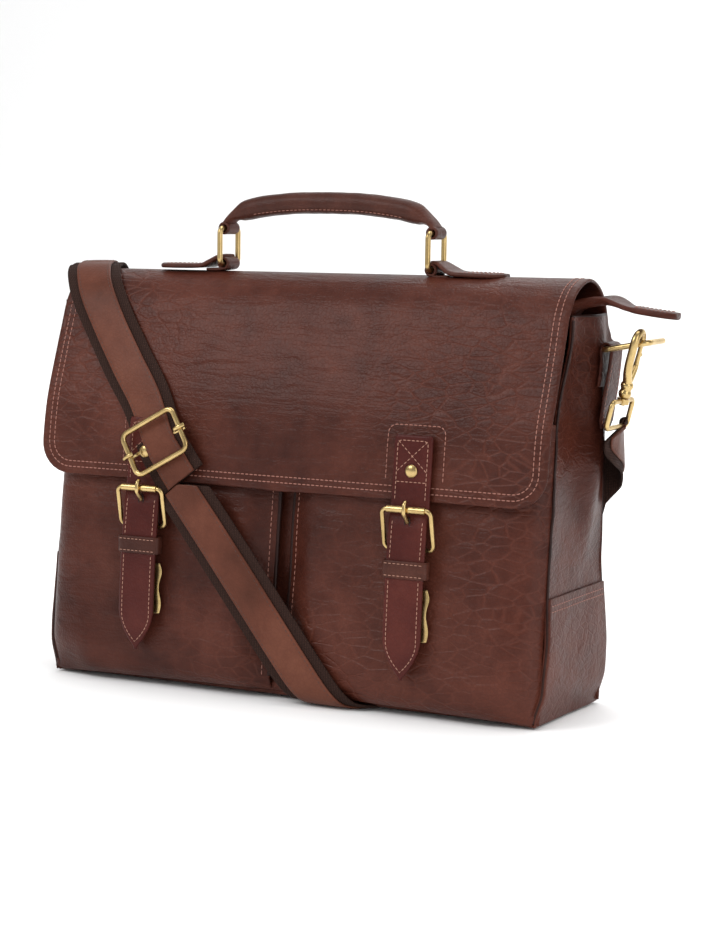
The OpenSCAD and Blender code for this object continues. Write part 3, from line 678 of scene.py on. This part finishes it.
BULGE = [(0, 0.42), (4, 0.66), (10, 0.87), (22, 1.0), (60, 1.04), (130, 1.0), (180, 0.8), (208, 0.62)]


def pocket_fn(x0, x1, gap_side):
    """Outer face of a pocket: full in the middle, flat along the gap, rounded at the case's corner."""
    def fn(x, z):
        from_gap = (x - x0) if gap_side < 0 else (x1 - x)
        from_end = (x1 - x) if gap_side < 0 else (x - x0)
        full = np.interp(z, [b[0] for b in BULGE], [b[1] for b in BULGE]) * 17.6
        near_gap = 0.36 + 0.64 * step(0, 26, from_gap) ** 0.7
        near_end = 0.06 + 0.94 * (1 - (1 - min(1, max(0.0, from_end) / 38)) ** 2.3) ** 0.55
        corner = 1 - 0.45 * (1 - step(0, 46, from_end)) * (1 - step(2, 34, z))
        y = front_y(z) - 0.6 - full * near_gap * near_end * corner
        puff = wave(x, 0, z, 48, 1.7, 6.3) + wave(x, 0, z, 19, 0.55, 12.0)
        dent = 1.5 * exp(-((x - 150) / 26) ** 2 - ((z - 34) / 12) ** 2)
        return (x, y + puff * min(1, full / 12) * near_end + dent, z)
    return fn


def build_pocket(tag, x0, x1, gap_side):
    fn = pocket_fn(x0, x1, gap_side)

    def face(x, z, out=0.0):
        return (tucked(x, z), fn(x, z)[1] - out, z + (4.0 + floor_line(x)) * (1 - z / 208))
    xs = linspace(x0, x1, 90)
    zs = list(linspace(0, 1, 12) ** 1.4 * 22) + list(linspace(25, 207.5, 70))
    grid = []
    for z in zs:
        grid.append([face(x, z) for x in xs])
    shell("pocket_leather_" + tag, grid, 2.2, LEATHER, "case", ("pocket_" + tag,), flip=True)
    gap_x = x0 if gap_side < 0 else x1
    inward = 1 if gap_side < 0 else -1
    zs = linspace(10, 204, 120)
    edge = [face(gap_x, z, -0.9) for z in zs]
    tube("pocket_binding_" + tag, edge, 1.5, EDGE, "case", across=(1, 0, 0))
    rows = [([face(gap_x + inward * 4.6, z, 0.1) for z in zs], (-inward * 0.25, -1, 0))]
    stitches("pocket_stitching_" + tag, rows, "case", THREAD)


build_pocket("right", 2.6, 199.4, -1)
build_pocket("left", -199.4, -9.8, 1)


def flap_surface(x, z_or_s, lift=0.0):
    p = np.array(flap_point(x, z_or_s))
    a = np.array(flap_point(x, z_or_s + 1.0)) - p
    n = unit(np.array([0, -a[2], a[1]]))
    return p + n * lift, n


def s_at(z):
    return float(np.interp(z, FLAP_LINE[:120, 1], FLAP_RUN[:120]))


# ---- closing straps ----

STRAP_X = {"left": -112.0, "right": 105.0}
STRAP_LINE = [(-62.0, 197.5), (-64.4, 172), (-66.4, 152), (-67.4, 145), (-70.2, 134), (-72.2, 118),
              (-74.2, 100),
              (-76.6, 62), (-77.4, 29)]


def strap_y(z):
    pts = sorted((b, a) for a, b in STRAP_LINE)
    return float(np.interp(z, [p[0] for p in pts], [p[1] for p in pts]))


def arch(half, low, high, round_x, round_z, along, across):
    """An upside-down U with rounded corners, as (x, z) points: up one side, over and down the other."""
    pts = [(-half, z) for z in linspace(low, high, along)]
    pts += [(-half + round_x * (1 - cos(a)), high + round_z * sin(a)) for a in linspace(0, pi / 2, 6)][1:]
    pts += [(dx, high + round_z) for dx in linspace(-half + round_x, half - round_x, across)][1:]
    pts += [(half - round_x * (1 - cos(a)), high + round_z * sin(a)) for a in linspace(pi / 2, 0, 6)][1:]
    return pts + [(half, z) for z in linspace(high, low, along)][1:]


def build_closing_strap(tag):
    x = STRAP_X[tag]
    path = smooth_path([(x, y, z) for y, z in STRAP_LINE], 110)
    sections = []
    for p in path:
        tip = max(0.0, p[2] - 29.0)
        w = 29.6
        if tip < 30:
            w = max(2.4, 29.6 * (1 - (1 - tip / 30) ** 1.9))
        if p[2] > 195.5:
            w = 29.6 - 1.2 * (p[2] - 195.5)
        sections.append(strip_section(max(w, 2.9), 2.8, 0.2))
    sweep("closing_strap_leather_" + tag, path, (1, 0, 0), sections, RED, "flap_body",
                    ("closing_strap_" + tag,))
    half = 11.6

    def at(dx, z):
        return (x + dx, strap_y(z) - 1.55, z)
    rows = [([at(*q) for q in arch(half, 153, 191, 3.5, 3.0, 30, 12)], (0, -1, 0.1))]
    for sgn in (1, -1):
        rows.append(([at(sgn * d, 194 - (d + half) * 0.93) for d in linspace(-half, half, 20)], (0, -1, 0.1)))
    rows.append(([at(d, 165.5) for d in linspace(-half, half, 16)], (0, -1, 0.1)))
    for sgn in (-1, 1):
        rows.append(([at(sgn * half, z) for z in linspace(139, 112.5, 20)], (0, -1, 0)))
    tip_row = [at(-half, z) for z in linspace(98, 56, 34)]
    tip_row += [at(-half * (1 - t ** 1.9), 55 - 20.5 * t) for t in linspace(0, 1, 16)][1:]
    tip_row += [at(half * (1 - t ** 1.9), 55 - 20.5 * t) for t in linspace(1, 0, 16)][1:]
    tip_row += [at(half, z) for z in linspace(56, 98, 34)]
    rows.append((tip_row, (0, -1, 0)))
    # the line sewn through the flap round the strap's end
    sewn = [flap_surface(x + dx, s_at(z), 0.0) for dx, z in arch(22.0, 166, 198, 6, 6, 16, 14)]
    stitches("flap_frame_stitching_" + tag, [([q[0] for q in sewn], [q[1] for q in sewn])], "flap_body",
             THREAD, 2.7, 0.9, 0.8, -0.05)
    stitches("closing_strap_stitching_" + tag, rows, "flap_body", PALE_THREAD, 2.3, 1.0, 0.6)
    slot_z = 138.0
    ring = [(x + 1.9 * cos(a), strap_y(slot_z) - 1.62, slot_z + 4.2 * sin(a))
            for a in turns(22)]
    tube("strap_slot_" + tag, ring, 0.55, EDGE, "flap_body", closed=True, across=(0, 1, 0))
    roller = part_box("buckle_roller_" + tag)
    top_z, front = roller[1][2] / MM, roller[0][1] / MM
    prong = smooth_path([(x, strap_y(slot_z) - 1.2, slot_z), (x, front + 0.4, slot_z + 5.0),
                         (x, front - 1.3, top_z - 4.0),
                         (x, front - 0.6, top_z + 1.2), (x, front + 1.6, top_z + 3.0)], 24)
    tube("prong_bar_" + tag, prong, 1.5, BRASS, "prong_" + tag, ("buckle_prong_" + tag,),
         across=(1, 0, 0))
    # keeper: a band round the strap, with a stitched lower edge
    kz = 105.5
    cy = strap_y(kz) + 1.6
    loop = [(x + (16.4 * copysign(abs(cos(a)) ** 0.42, cos(a))),
             cy + 4.0 * copysign(abs(sin(a)) ** 0.55, sin(a)), kz) for a in turns(72)]
    sweep("keeper_leather_" + tag, loop, (0, 0, 1), strip_section(12.6, 2.0, 0.15), GRIP, "flap_body",
                   ("keeper_" + tag,), closed=True)
    rows = [([(x + dx, cy - 5.15, kz + dz) for dx in linspace(-15, 15, 24)], (0, -1, 0)) for dz in (-4.2, 4.2)]
    stitches("keeper_stitching_" + tag, rows, "flap_body", PALE_THREAD, 2.2, 0.9, 0.55)
    # second layer of leather that folds back round the buckle's lower bar
    fold = smooth_path([(x, -62.8, 166), (x, -65.4, 150), (x, -66.2, 134), (x, -65.2, 122),
                        (x, -67.2, 116.4), (x, -69.6, 112), (x, -71.0, 100), (x, -72.4, 84)], 60)
    sweep("chape_leather_" + tag, fold, (1, 0, 0), strip_section(25.0, 1.8), DARK, "flap_body",
          ("chape_" + tag,))
    # head of the rivet
    ry = strap_y(173) - 1.5
    cap = []
    for r, h in ((4.7, 0.0), (4.7, 0.5), (4.2, 1.1), (2.9, 1.7), (1.2, 2.0), (0.05, 2.05)):
        cap.append([(x + r * cos(a), ry - h, 173 + r * sin(a)) for a in turns(28)])
    verts = [p for ring in cap for p in ring]
    faces = [(i * 28 + k, i * 28 + (k + 1) % 28, (i + 1) * 28 + (k + 1) % 28,
              (i + 1) * 28 + k) for i in range(5) for k in range(28)]
    faces += [tuple(range(28)), tuple(5 * 28 + k for k in reversed(range(28)))]
    make("rivet_head_" + tag, verts, faces, BRASS, "flap_body", ("strap_rivet_" + tag,))


build_closing_strap("left")
build_closing_strap("right")


# ---- shoulder strap ----

def band_on(name, path, normals, width, body, stands_for=(), blend=None, lay=None):
    """The shoulder strap along a path: webbing with a narrower leather strip on top, sewn along both edges."""
    path = np.asarray(path, float)
    normals = unit(np.asarray(normals, float))
    across = unit(np.cross(unit(np.gradient(path, axis=0)), normals))
    rows = []
    for sgn in (-1, 1):
        points = path + normals * 3.62 + across * sgn * (width * 0.32 - 2.2)
        if lay:
            rows.append(([lay(p) for p in points], [lay(p + n) - lay(p) for p, n in zip(points, normals)]))
        else:
            rows.append((points, normals))
    made = [sweep(name + "_webbing", path + normals, across, strip_section(width, 1.9), WEBBING, None,
                  stands_for, lay=lay),
            sweep(name + "_leather", path + normals * 2.75, across, strip_section(width * 0.64, 1.7, 0.3),
                  STRAP, None, (),
                  lay=lay),
            stitches(name + "_stitching", rows, None, DARK_THREAD, 2.4, 1.2, 0.55)]
    for obj in made:
        if blend:
            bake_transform(obj)
        else:
            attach(obj, body)


def build_shoulder_strap():
    width = 41.0
    back_width = 37
    # from the left hook over the top of the flap and down its front to the lower edge
    stations = [(-220.0, 78.5, 233.5, (0, 0.92, 0.4)), (-219.5, 71.5, 252, (0, 0.9, 0.45)),
                (-217, 57, 275, (-0.1, 0.78, 0.62)),
                (-212, 38, 293, (-0.1, 0.58, 0.8)), (-207, 20, 303.5, (-0.1, 0.25, 0.97))]
    for x, s in ((-201, 176), (-192, 160), (-178, 139), (-160, 114), (-138, 84), (-117, 58), (-101, 30),
                 (-88, 12), (-79, 1.0)):
        p, n = flap_surface(x, s, 0.9 + 3.6 * step(0, 1, (66 - s) / 30))
        stations.append((*p, n))
    path, normals = with_normals(stations, 200)
    # the strap is one length, cut at the top of the flap's curve
    cut = int(np.argmin(np.abs(path[:, 1] - 3) + 1000 * (path[:, 2] < 290)))
    band_on("strap_to_left_hook", path[:cut + 1], normals[:cut + 1], 38, None, ("strap_end_left",),
            ("case", "flap_body", (0, 0.0434, 0.262), (0, 0.010, 0.300)))
    band_on("strap_over", path[cut:], normals[cut:], width, "flap_body", ("strap_over_flap",))
    # the rest is drawn on the case's outline laid flat: x across, s down the front, under and up the back
    outline = smooth_path([(-68.2, 151.6), (-68.4, 138), (-69.0, 119), (-69.8, 98), (-71.2, 70),
                           (-72.2, 38), (-71.6, 19), (-67.6, 8.4),
                           (-60.5, 4.6), (-50, 3.9), (0, 3.9), (46, 3.9), (54.6, 5.4), (57.4, 13),
                           (56.4, 50), (53.6, 95), (51.6, 138),
                           (50.4, 153)], 400)
    run = np.concatenate([[0], np.cumsum(np.linalg.norm(np.diff(outline, axis=0), axis=1))])
    slope = unit(np.gradient(outline, axis=0))

    def lay(v):
        y, z = (np.interp(v[1], run, outline[:, k]) for k in (0, 1))
        ty, tz = unit([np.interp(v[1], run, slope[:, k]) for k in (0, 1)])
        return np.array((v[0], y + tz * v[2], z - ty * v[2]))
    bottom_front = float(run[np.argmin(np.hypot(outline[:, 0] + 56, outline[:, 1] - 4))])
    bottom_back = float(run[np.argmin(np.hypot(outline[:, 0] - 51, outline[:, 1] - 4))])
    for name, node, points, wide in (
            ("strap_lower", "strap_front_lower", ((-81, 0.5), (-17, bottom_front * 0.5),
            (46, bottom_front)), width),
            ("strap_under", "strap_underneath",
             ((46, bottom_front), (92, (bottom_front + bottom_back) / 2), (136, bottom_back)), width),
            ("strap_up_back", "strap_back_run",
             ((136, bottom_back), (151, bottom_back + 45), (168, bottom_back + 95), (184.5, run[-1] - 0.5)),
             back_width)):
        flat = smooth_path([(x, s, 0) for x, s in points], 110)
        band_on(name, flat, [(0, 0, 1)] * len(flat), wide, "case", (node,), lay=lay)
    path, normals = with_normals(
        [(184.5, 50.4, 151.5, (0, 1, 0.04)), (194, 50.6, 162, (0, 1, 0)), (203, 50.9, 171, (0.25, 0.97, 0)),
         (213, 43, 180, (0.75, 0.66, 0)), (220, 28, 188, (0.88, 0.47, 0)),
         (224.0, 12, 194.5, (0.95, 0.3, -0.1)),
         (226.0, 4, 199.5, (0.97, 0, -0.24)), (227.2, 2, 203, (0.97, 0, -0.24))], 90)
    band_on("strap_to_right_hook", path, unit(normals), 34, "case", ("strap_end_right",))


build_shoulder_strap()


# ---- the handle ----

RING_X = 85.5               # of each handle ring
HANDLE_Y = 6


def build_handle():
    low, high = 309.1, 335.1
    # rolled grip: thick in the middle, round shoulders, then a thin neck at each ring
    half = [(86.5, 337.5, 2.6, 8.6), (82.5, 342.0, 3.2, 8.4), (78, 345.0, 4.6, 7.6), (73.5, 347.0, 6.6, 7.6),
            (68, 349.0, 7.7, 8.0), (55, 351.6, 7.9, 8.0), (30, 354.2, 7.9, 8.0)]
    profile = [(-x, *rest) for x, *rest in half] + [(0, 355.0, 7.9, 8.0)] + half[::-1]
    full = smooth_path(profile, 160)
    path = [(p[0], HANDLE_Y + wave(p[0], 0, 0, 30, 0.3, 2.0), p[1] + wave(p[0], 4, 0, 22, 0.25,
            6.0)) for p in full]
    sections = []
    for p in full:
        ring = []
        for k in range(28):
            a = 2 * pi * k / 28
            lump = 1 + 0.025 * noise.noise(Vector((p[0] / 9, cos(a) * 1.5, sin(a) * 1.5)))
            ring.append((p[3] * cos(a) * lump, p[2] * sin(a) * lump))
        sections.append(ring)
    grip = sweep("handle_grip", path, (0, 1, 0), sections, GRIP, None, ("handle_cover", "handle_core"))
    parts = [grip]
    for sgn in (-1, 1):
        x = sgn * RING_X
        loop = [(x + 3.7 * cos(a), HANDLE_Y, high + 3.7 * sin(a)) for a in turns(26)]
        parts.append(sweep("loop", loop, (0, 1, 0), strip_section(16.6, 2.0), GRIP, closed=True))
    body = join("handle_leather", parts)
    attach(body, "handle")
    seam = []
    for p in full:
        if abs(p[0]) < 62:
            seam.append((p[0], HANDLE_Y - p[3] * 0.80, p[1] - p[2] * 0.64))
    stitches("handle_stitching", [(seam, (0, -0.8, -0.6))], "handle", THREAD, 2.4, 1.0, 0.6)
    for sgn, tag in ((-1, "left"), (1, "right")):
        x = sgn * RING_X
        parts = []
        loop = [(x + 3.8 * cos(a), HANDLE_Y, low + 3.8 * sin(a)) for a in turns(26)]
        parts.append(sweep("handle_base_leather_" + tag, loop, (0, 1, 0), strip_section(18.0, 2.0), GRIP,
                           closed=True))
        pts = smooth_path([(x + sgn * 0.2, HANDLE_Y, low + 5.0), (x + sgn * 5, HANDLE_Y, low + 4.6),
                           (x + sgn * 11, HANDLE_Y, low + 1.2), (x + sgn * 18, HANDLE_Y, 307.2),
                           (x + sgn * 34, HANDLE_Y, 306.4), (x + sgn * 56, HANDLE_Y, 306.2)], 50)
        sections = []
        for p in pts:
            out = abs(p[0]) - RING_X
            w = 18 + 8.6 * step(2, 16, out)
            if out > 40:
                w = max(5, 26.6 * (1 - ((out - 40) / 17) ** 2.4) ** 0.5) if out < 57 else 5
            sections.append(strip_section(w, 3.2, 0.4))
        parts.append(sweep("plate", pts, (0, 1, 0), sections, GRIP))
        pts2 = [(x + sgn * d, HANDLE_Y, low - 4.0 + (0 if d < 4 else -0.6)) for d in linspace(0, 14, 8)]
        parts.append(sweep("under", pts2, (0, 1, 0), strip_section(18, 2.0), GRIP))
        obj = join("handle_base_leather_" + tag, parts)
        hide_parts("handle_base_" + tag)
        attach(obj, "flap_body")
        outline = [(x + sgn * d, HANDLE_Y + 10.2, 308.3) for d in linspace(16, 40, 16)]
        outline += [(x + sgn * (40 + 12.5 * sin(a)), HANDLE_Y + 10.2 * cos(a), 308.2) for a in linspace(0,
                pi, 22)][1:]
        outline += [(x + sgn * d, HANDLE_Y - 10.2, 308.3) for d in linspace(40, 16, 16)][1:]
        stitches("handle_base_stitching_" + tag, [(outline, (0, 0, 1))], "flap_body", THREAD, 2.4, 0.9, 0.6)


build_handle()


# ---- side tabs, zip and tail ----

def build_side_tabs():
    for sgn, tag in ((-1, "left"), (1, "right")):
        pts = smooth_path([(sgn * 213.0, 18, 203), (sgn * 215.6, 18, 222), (sgn * 218.2, 18, 240),
                           (sgn * 219.6, 18, 252), (sgn * 219.8, 18, 258.6),
                           (sgn * 217.6, 18, 261.6), (sgn * 214.2, 18, 261.4), (sgn * 212.2, 18, 257),
                           (sgn * 212.6, 18, 248), (sgn * 211.6, 18, 232)], 70)
        sections = []
        for p in pts:
            w = 24.0 - 4.0 * step(226, 258, p[2])
            if p[2] < 209:
                w = 24.0 * (0.72 + 0.28 * step(203, 209, p[2]))
            sections.append(strip_section(w, 2.1, 0.2))
        sweep("side_tab_leather_" + tag, pts, (0, 1, 0), sections, LEATHER, "case", ("side_tab_" + tag,))
        rows = []
        for off in (-9.2, 9.2):
            rows.append(([(sgn * (np.interp(z, [206, 222, 240, 248], [214.5, 216.8, 219.4, 220.4])),
                           18 + off * (1 - 0.16 * step(226, 250, z)), z) for z in linspace(206, 248, 26)],
                           (sgn, 0, -0.1)))
        rows.append(([(sgn * 214.4, 18 + dy, 205.8) for dy in linspace(-7.4, 7.4, 10)], (sgn, 0, -0.1)))
        stitches("side_tab_stitching_" + tag, rows, "case", THREAD, 2.4, 0.9, 0.6)


def build_zip():
    for y0, y1, tag in ((-20.4, 7.6, "front"), (35.5, 8.4, "back")):
        body = tag + "_leaf"
        grid = [[(x, y, 264.6 + wave(x, y, 0, 30, 0.5, 3.0)) for y in linspace(y0,
                y1 + (-2.2 if y1 > y0 else 2.2), 10)] for x in linspace(-192, 178, 60)]
        shell("zip_tape_" + tag, grid, 1.0, CLOTH, body, ("zip_leaf_" + tag,), flip=y1 < y0)
        teeth_v, teeth_f = [], []
        edge = y1 - 1.3 if y1 > y0 else y1 + 1.3
        reach = 2.6
        for k in range(148):
            x = -189 + k * 2.46 + (0 if y1 > y0 else 1.23)
            a = len(teeth_v)
            ylo, yhi = (edge - 1.2, edge + reach - 1.1) if y1 > y0 else (edge - reach + 1.1, edge + 1.2)
            for dx in (-0.5, 0.5):
                for y in (ylo, yhi):
                    for z in (262.8, 265.4):
                        teeth_v.append((x + dx, y, z))
            teeth_f += [(a, a + 1, a + 3, a + 2), (a + 4, a + 6, a + 7, a + 5), (a, a + 4, a + 5, a + 1),
                        (a + 2, a + 3, a + 7, a + 6), (a, a + 2, a + 6, a + 4), (a + 1, a + 5, a + 7, a + 3)]
        make("zip_teeth_" + tag, teeth_v, teeth_f, BRASS, body)
    pts = smooth_path([(181, 8, 264.5), (188, 8, 269), (193.5, 8, 282), (199, 8, 287.0), (208, 8, 289.4),
                       (217, 8, 290.4), (226, 8, 289.0), (236, 8, 286.6), (252, 8, 284.4), (268, 8, 282.8)], 90)
    sections = []
    for p in pts:
        w = 30 - 12.5 * step(222, 238, p[0])
        if p[0] > 263:
            w = 17.5 - 0.9 * (p[0] - 263)
        arch = 2.6 * (1 - step(216, 236, p[0]))
        sec = [(a, b - arch * (2 * a / w) ** 2 * 1.4) for a, b in strip_section(w,
                3.4 + 1.2 * step(234, 240, p[0]), 0.3)]
        sections.append(sec)
    sweep("zip_tail_leather", pts, (0, 1, 0), sections, LEATHER, "case", ("zip_tail",))
    line = []
    for sgn in (-1, 1):
        line.append(([(x, 8 + sgn * 6.3, np.interp(x, [238, 252, 268],
                [288.6, 286.9, 285.4])) for x in linspace(239, 264, 16)], (0, 0, 1)))
    line.append(([(239, 8 + dy, 288.6) for dy in linspace(-6.3, 6.3, 8)], (0, 0, 1)))
    line.append(([(264, 8 + dy, 285.8) for dy in linspace(-6.3, 6.3, 8)], (0, 0, 1)))
    stitches("zip_tail_stitching", line, "case", THREAD, 2.2, 0.9, 0.6)


build_side_tabs()
build_zip()


# ---- hardware ----

def build_hooks():
    for tag, origin, turn in (
            ("right", (242.013, 2, 263.056), Matrix.Rotation(radians(14), 3,
            "Y") @ Matrix.Rotation(radians(90), 3, "Z")),
            ("left", (-220.113, 34, 274.495), Matrix.Rotation(radians(45), 3, "X"))):
        origin = Vector(origin)

        def place(points):
            return [tuple(origin + turn @ Vector(p)) for p in points]
        y_axis = tuple(turn @ Vector((0, 1, 0)))
        nose = smooth_path([(6.6, 0, 1.0), (6.4, 0, 4.2), (3.6, 0, 7.4), (0, 0, 8.4), (-4.2, 0, 7.2),
                            (-7.0, 0, 3.2), (-7.2, 0, -4), (-7.0, 0, -13), (-5.6, 0, -19.5), (-2.2, 0, -25),
                            (0, 0, -29)], 60)
        radii = np.interp(linspace(0, 1, 60), [0, 0.2, 0.8, 1], [2.0, 2.7, 3.0, 3.4])
        parts = [sweep("snap_hook_body_" + tag, place(nose), y_axis,
                       [round_section(r, 1.0, 14) for r in radii], BRASS)]
        other = smooth_path([(7.0, 0, -15.2), (6.4, 0, -18.0), (3.6, 0, -23.4), (0, 0, -28.5)], 24)
        parts.append(sweep("arm", place(other), y_axis,
                           [round_section(r, 1.0, 14) for r in linspace(1.9, 2.9, 24)], BRASS))
        barrel = [(0, 0, z) for z in linspace(-26.5, -38.2, 16)]
        shape = np.interp(linspace(0, 1, 16), [0, 0.12, 0.3, 0.5, 0.7, 0.88, 1],
                          [3.0, 4.3, 4.6, 3.5, 4.6, 4.2, 3.4])
        parts.append(sweep("barrel", place(barrel), y_axis, [round_section(r, 1.0, 20) for r in shape], BRASS))
        parts.append(sweep("pin", place([(0, 0, z) for z in linspace(-38, -43.5, 6)]), y_axis,
                           round_section(2.0, 1.0, 14), BRASS))
        hook = join("snap_hook_body_" + tag, parts)
        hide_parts("snap_hook_" + tag)
        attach(hook, "hook_" + tag)
        gate = [(7.0, 0, z) for z in linspace(0.6, -15.4, 14)]
        gate_r = np.interp(linspace(0, 1, 14), [0, 0.1, 0.8, 1], [1.2, 1.5, 1.7, 1.9])
        parts = [sweep("hook_gate_bar_" + tag, place(gate), y_axis,
                       [round_section(r, 1.0, 14) for r in gate_r], BRASS),
                 sweep("thumb", place([(8.2, 0, -7.5), (9.6, 0, -7.8), (10.4, 0, -8.0)]), y_axis,
                       round_section(1.5, 1.0, 12), BRASS)]
        gate_obj = join("hook_gate_bar_" + tag, parts)
        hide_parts("hook_gate_" + tag)
        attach(gate_obj, "gate_" + tag)


build_hooks()


def build_slider():
    """The frame lies on the strap, and the strap runs up over its centre bar between the two long sides."""
    turn = (Matrix.Rotation(radians(-6), 3, "X") @ Matrix.Rotation(radians(-30), 3, "Y")
            @ Matrix.Rotation(radians(90), 3, "X"))
    centre = Vector((-101, -70.6, 181))

    def place(points):
        return [tuple(centre + turn @ Vector(p)) for p in points]
    w, h, r = 23.5, 16.5, 5.0
    ring = []
    for k, (cx, cy) in enumerate(((w - r, h - r), (-w + r, h - r), (-w + r, -h + r), (w - r, -h + r))):
        for a in linspace(0, pi / 2, 8):
            ring.append((cx + r * cos(a + k * pi / 2), cy + r * sin(a + k * pi / 2), 0))
    face = tuple(turn @ Vector((0, 0, 1)))
    parts = [tube("strap_slider_frame", place(even(ring + ring[:1], 90)[:-1]), 2.0, BRASS, closed=True,
                  across=face)]
    parts.append(tube("bar", place([(x, 0, -6.2) for x in linspace(-w - 1, w + 1, 10)]), 1.6, BRASS,
                      across=face))
    for sgn in (-1, 1):
        peg = smooth_path([(sgn * (w - 3.4), 0, 1.2), (sgn * (w - 1.5), 0, 2.3), (sgn * (w + 1.4), 0, 2.2),
                           (sgn * (w + 4.6), 0, 0.4)], 16)
        parts.append(tube("peg", place(peg), 1.7, BRASS, across=face))
    frame_obj = join("strap_slider_frame", parts)
    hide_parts("strap_slider")
    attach(frame_obj, "slider")


def build_clips():
    """Sprung clip behind each closing strap: its wavy edge shows past the strap's right side."""
    for tag in ("left", "right"):
        x = STRAP_X[tag]
        rows = []
        for z in linspace(56, 92, 40):
            t = (z - 56) / 36
            out = 16.0 + 0.9 * sin(t * 9.0) - 1.2 * step(0.8, 1.0, t)
            y = strap_y(z) + 5.2 + 0.3 * sin(t * 9.0)
            rows.append([(x + d, y + (0.7 if d > 10 else 0) * (d - 10) / 6, z) for d in linspace(-7, out, 8)])
        shell("spring_clip_" + tag, rows, 0.9, BRASS, "clip_" + tag, ("clip_lever_" + tag,))


build_slider()
build_clips()


for name, obj in frame["nodes"].items():
    slot_name = next(p["material_slot"] for p in frame["record"]["subparts"] if p["node"] == name)
    obj.data.materials.clear()
    obj.data.materials.append(SLOT_OF[slot_name])


# ---- floor, light ----

def build_stage():
    white = Nodes("white_floor")
    white.surface(Base_Color=(0.94, 0.94, 0.94, 1), Roughness=0.75)
    data = bpy.data.meshes.new("floor")
    profile = [(-6.0, -0.0002), (3.0, -0.0002)] + [(3.0 + 2.0 * sin(a),
            2.0 - 2.0 * cos(a)) for a in linspace(0.1, pi / 2, 14)] + [(5.0, 7.0)]
    verts, faces = [], []
    for y, z in profile:
        verts += [(-9, y, z), (9, y, z)]
    for i in range(len(profile) - 1):
        faces.append((2 * i, 2 * i + 1, 2 * i + 3, 2 * i + 2))
    data.from_pydata(verts, [], faces)
    data.polygons.foreach_set("use_smooth", [True] * len(data.polygons))
    data.materials.append(white.mat)
    floor = add_object("floor", data)
    world = bpy.data.worlds.new("studio")
    bpy.context.scene.world = world
    world.use_nodes = True
    back = world.node_tree.nodes["Background"]
    back.inputs["Color"].default_value = (1, 1, 1, 1)
    # a darker room in reflections keeps the leather deep in colour
    path = world.node_tree.nodes.new("ShaderNodeLightPath")
    dim = world.node_tree.nodes.new("ShaderNodeMath")
    dim.operation = "MULTIPLY_ADD"
    world.node_tree.links.new(path.outputs["Is Glossy Ray"], dim.inputs[0])
    dim.inputs[1].default_value = -0.56
    dim.inputs[2].default_value = 0.92
    world.node_tree.links.new(dim.outputs[0], back.inputs["Strength"])

    def lamp(name, where, size, power, aim=(0, 0, 0.17)):
        light = bpy.data.lights.new(name, "AREA")
        light.shape = "RECTANGLE"
        light.size, light.size_y = size
        light.energy = power
        obj = add_object(name, light)
        obj.location = where
        obj.rotation_euler = (Vector(aim) - Vector(where)).to_track_quat("-Z", "Y").to_euler()
    lamp("key", (-1.1, -1.7, 1.7), (1.2, 1.2), 26)
    lamp("fill", (1.9, -0.9, 0.9), (1.0, 1.6), 12)
    lamp("top", (0.1, 0.3, 2.2), (1.6, 1.0), 16)
    lamp("floor_wash", (0.3, 2.2, 2.2), (3.0, 1.0), 60, (0.2, 3.0, 0.2))


build_stage()
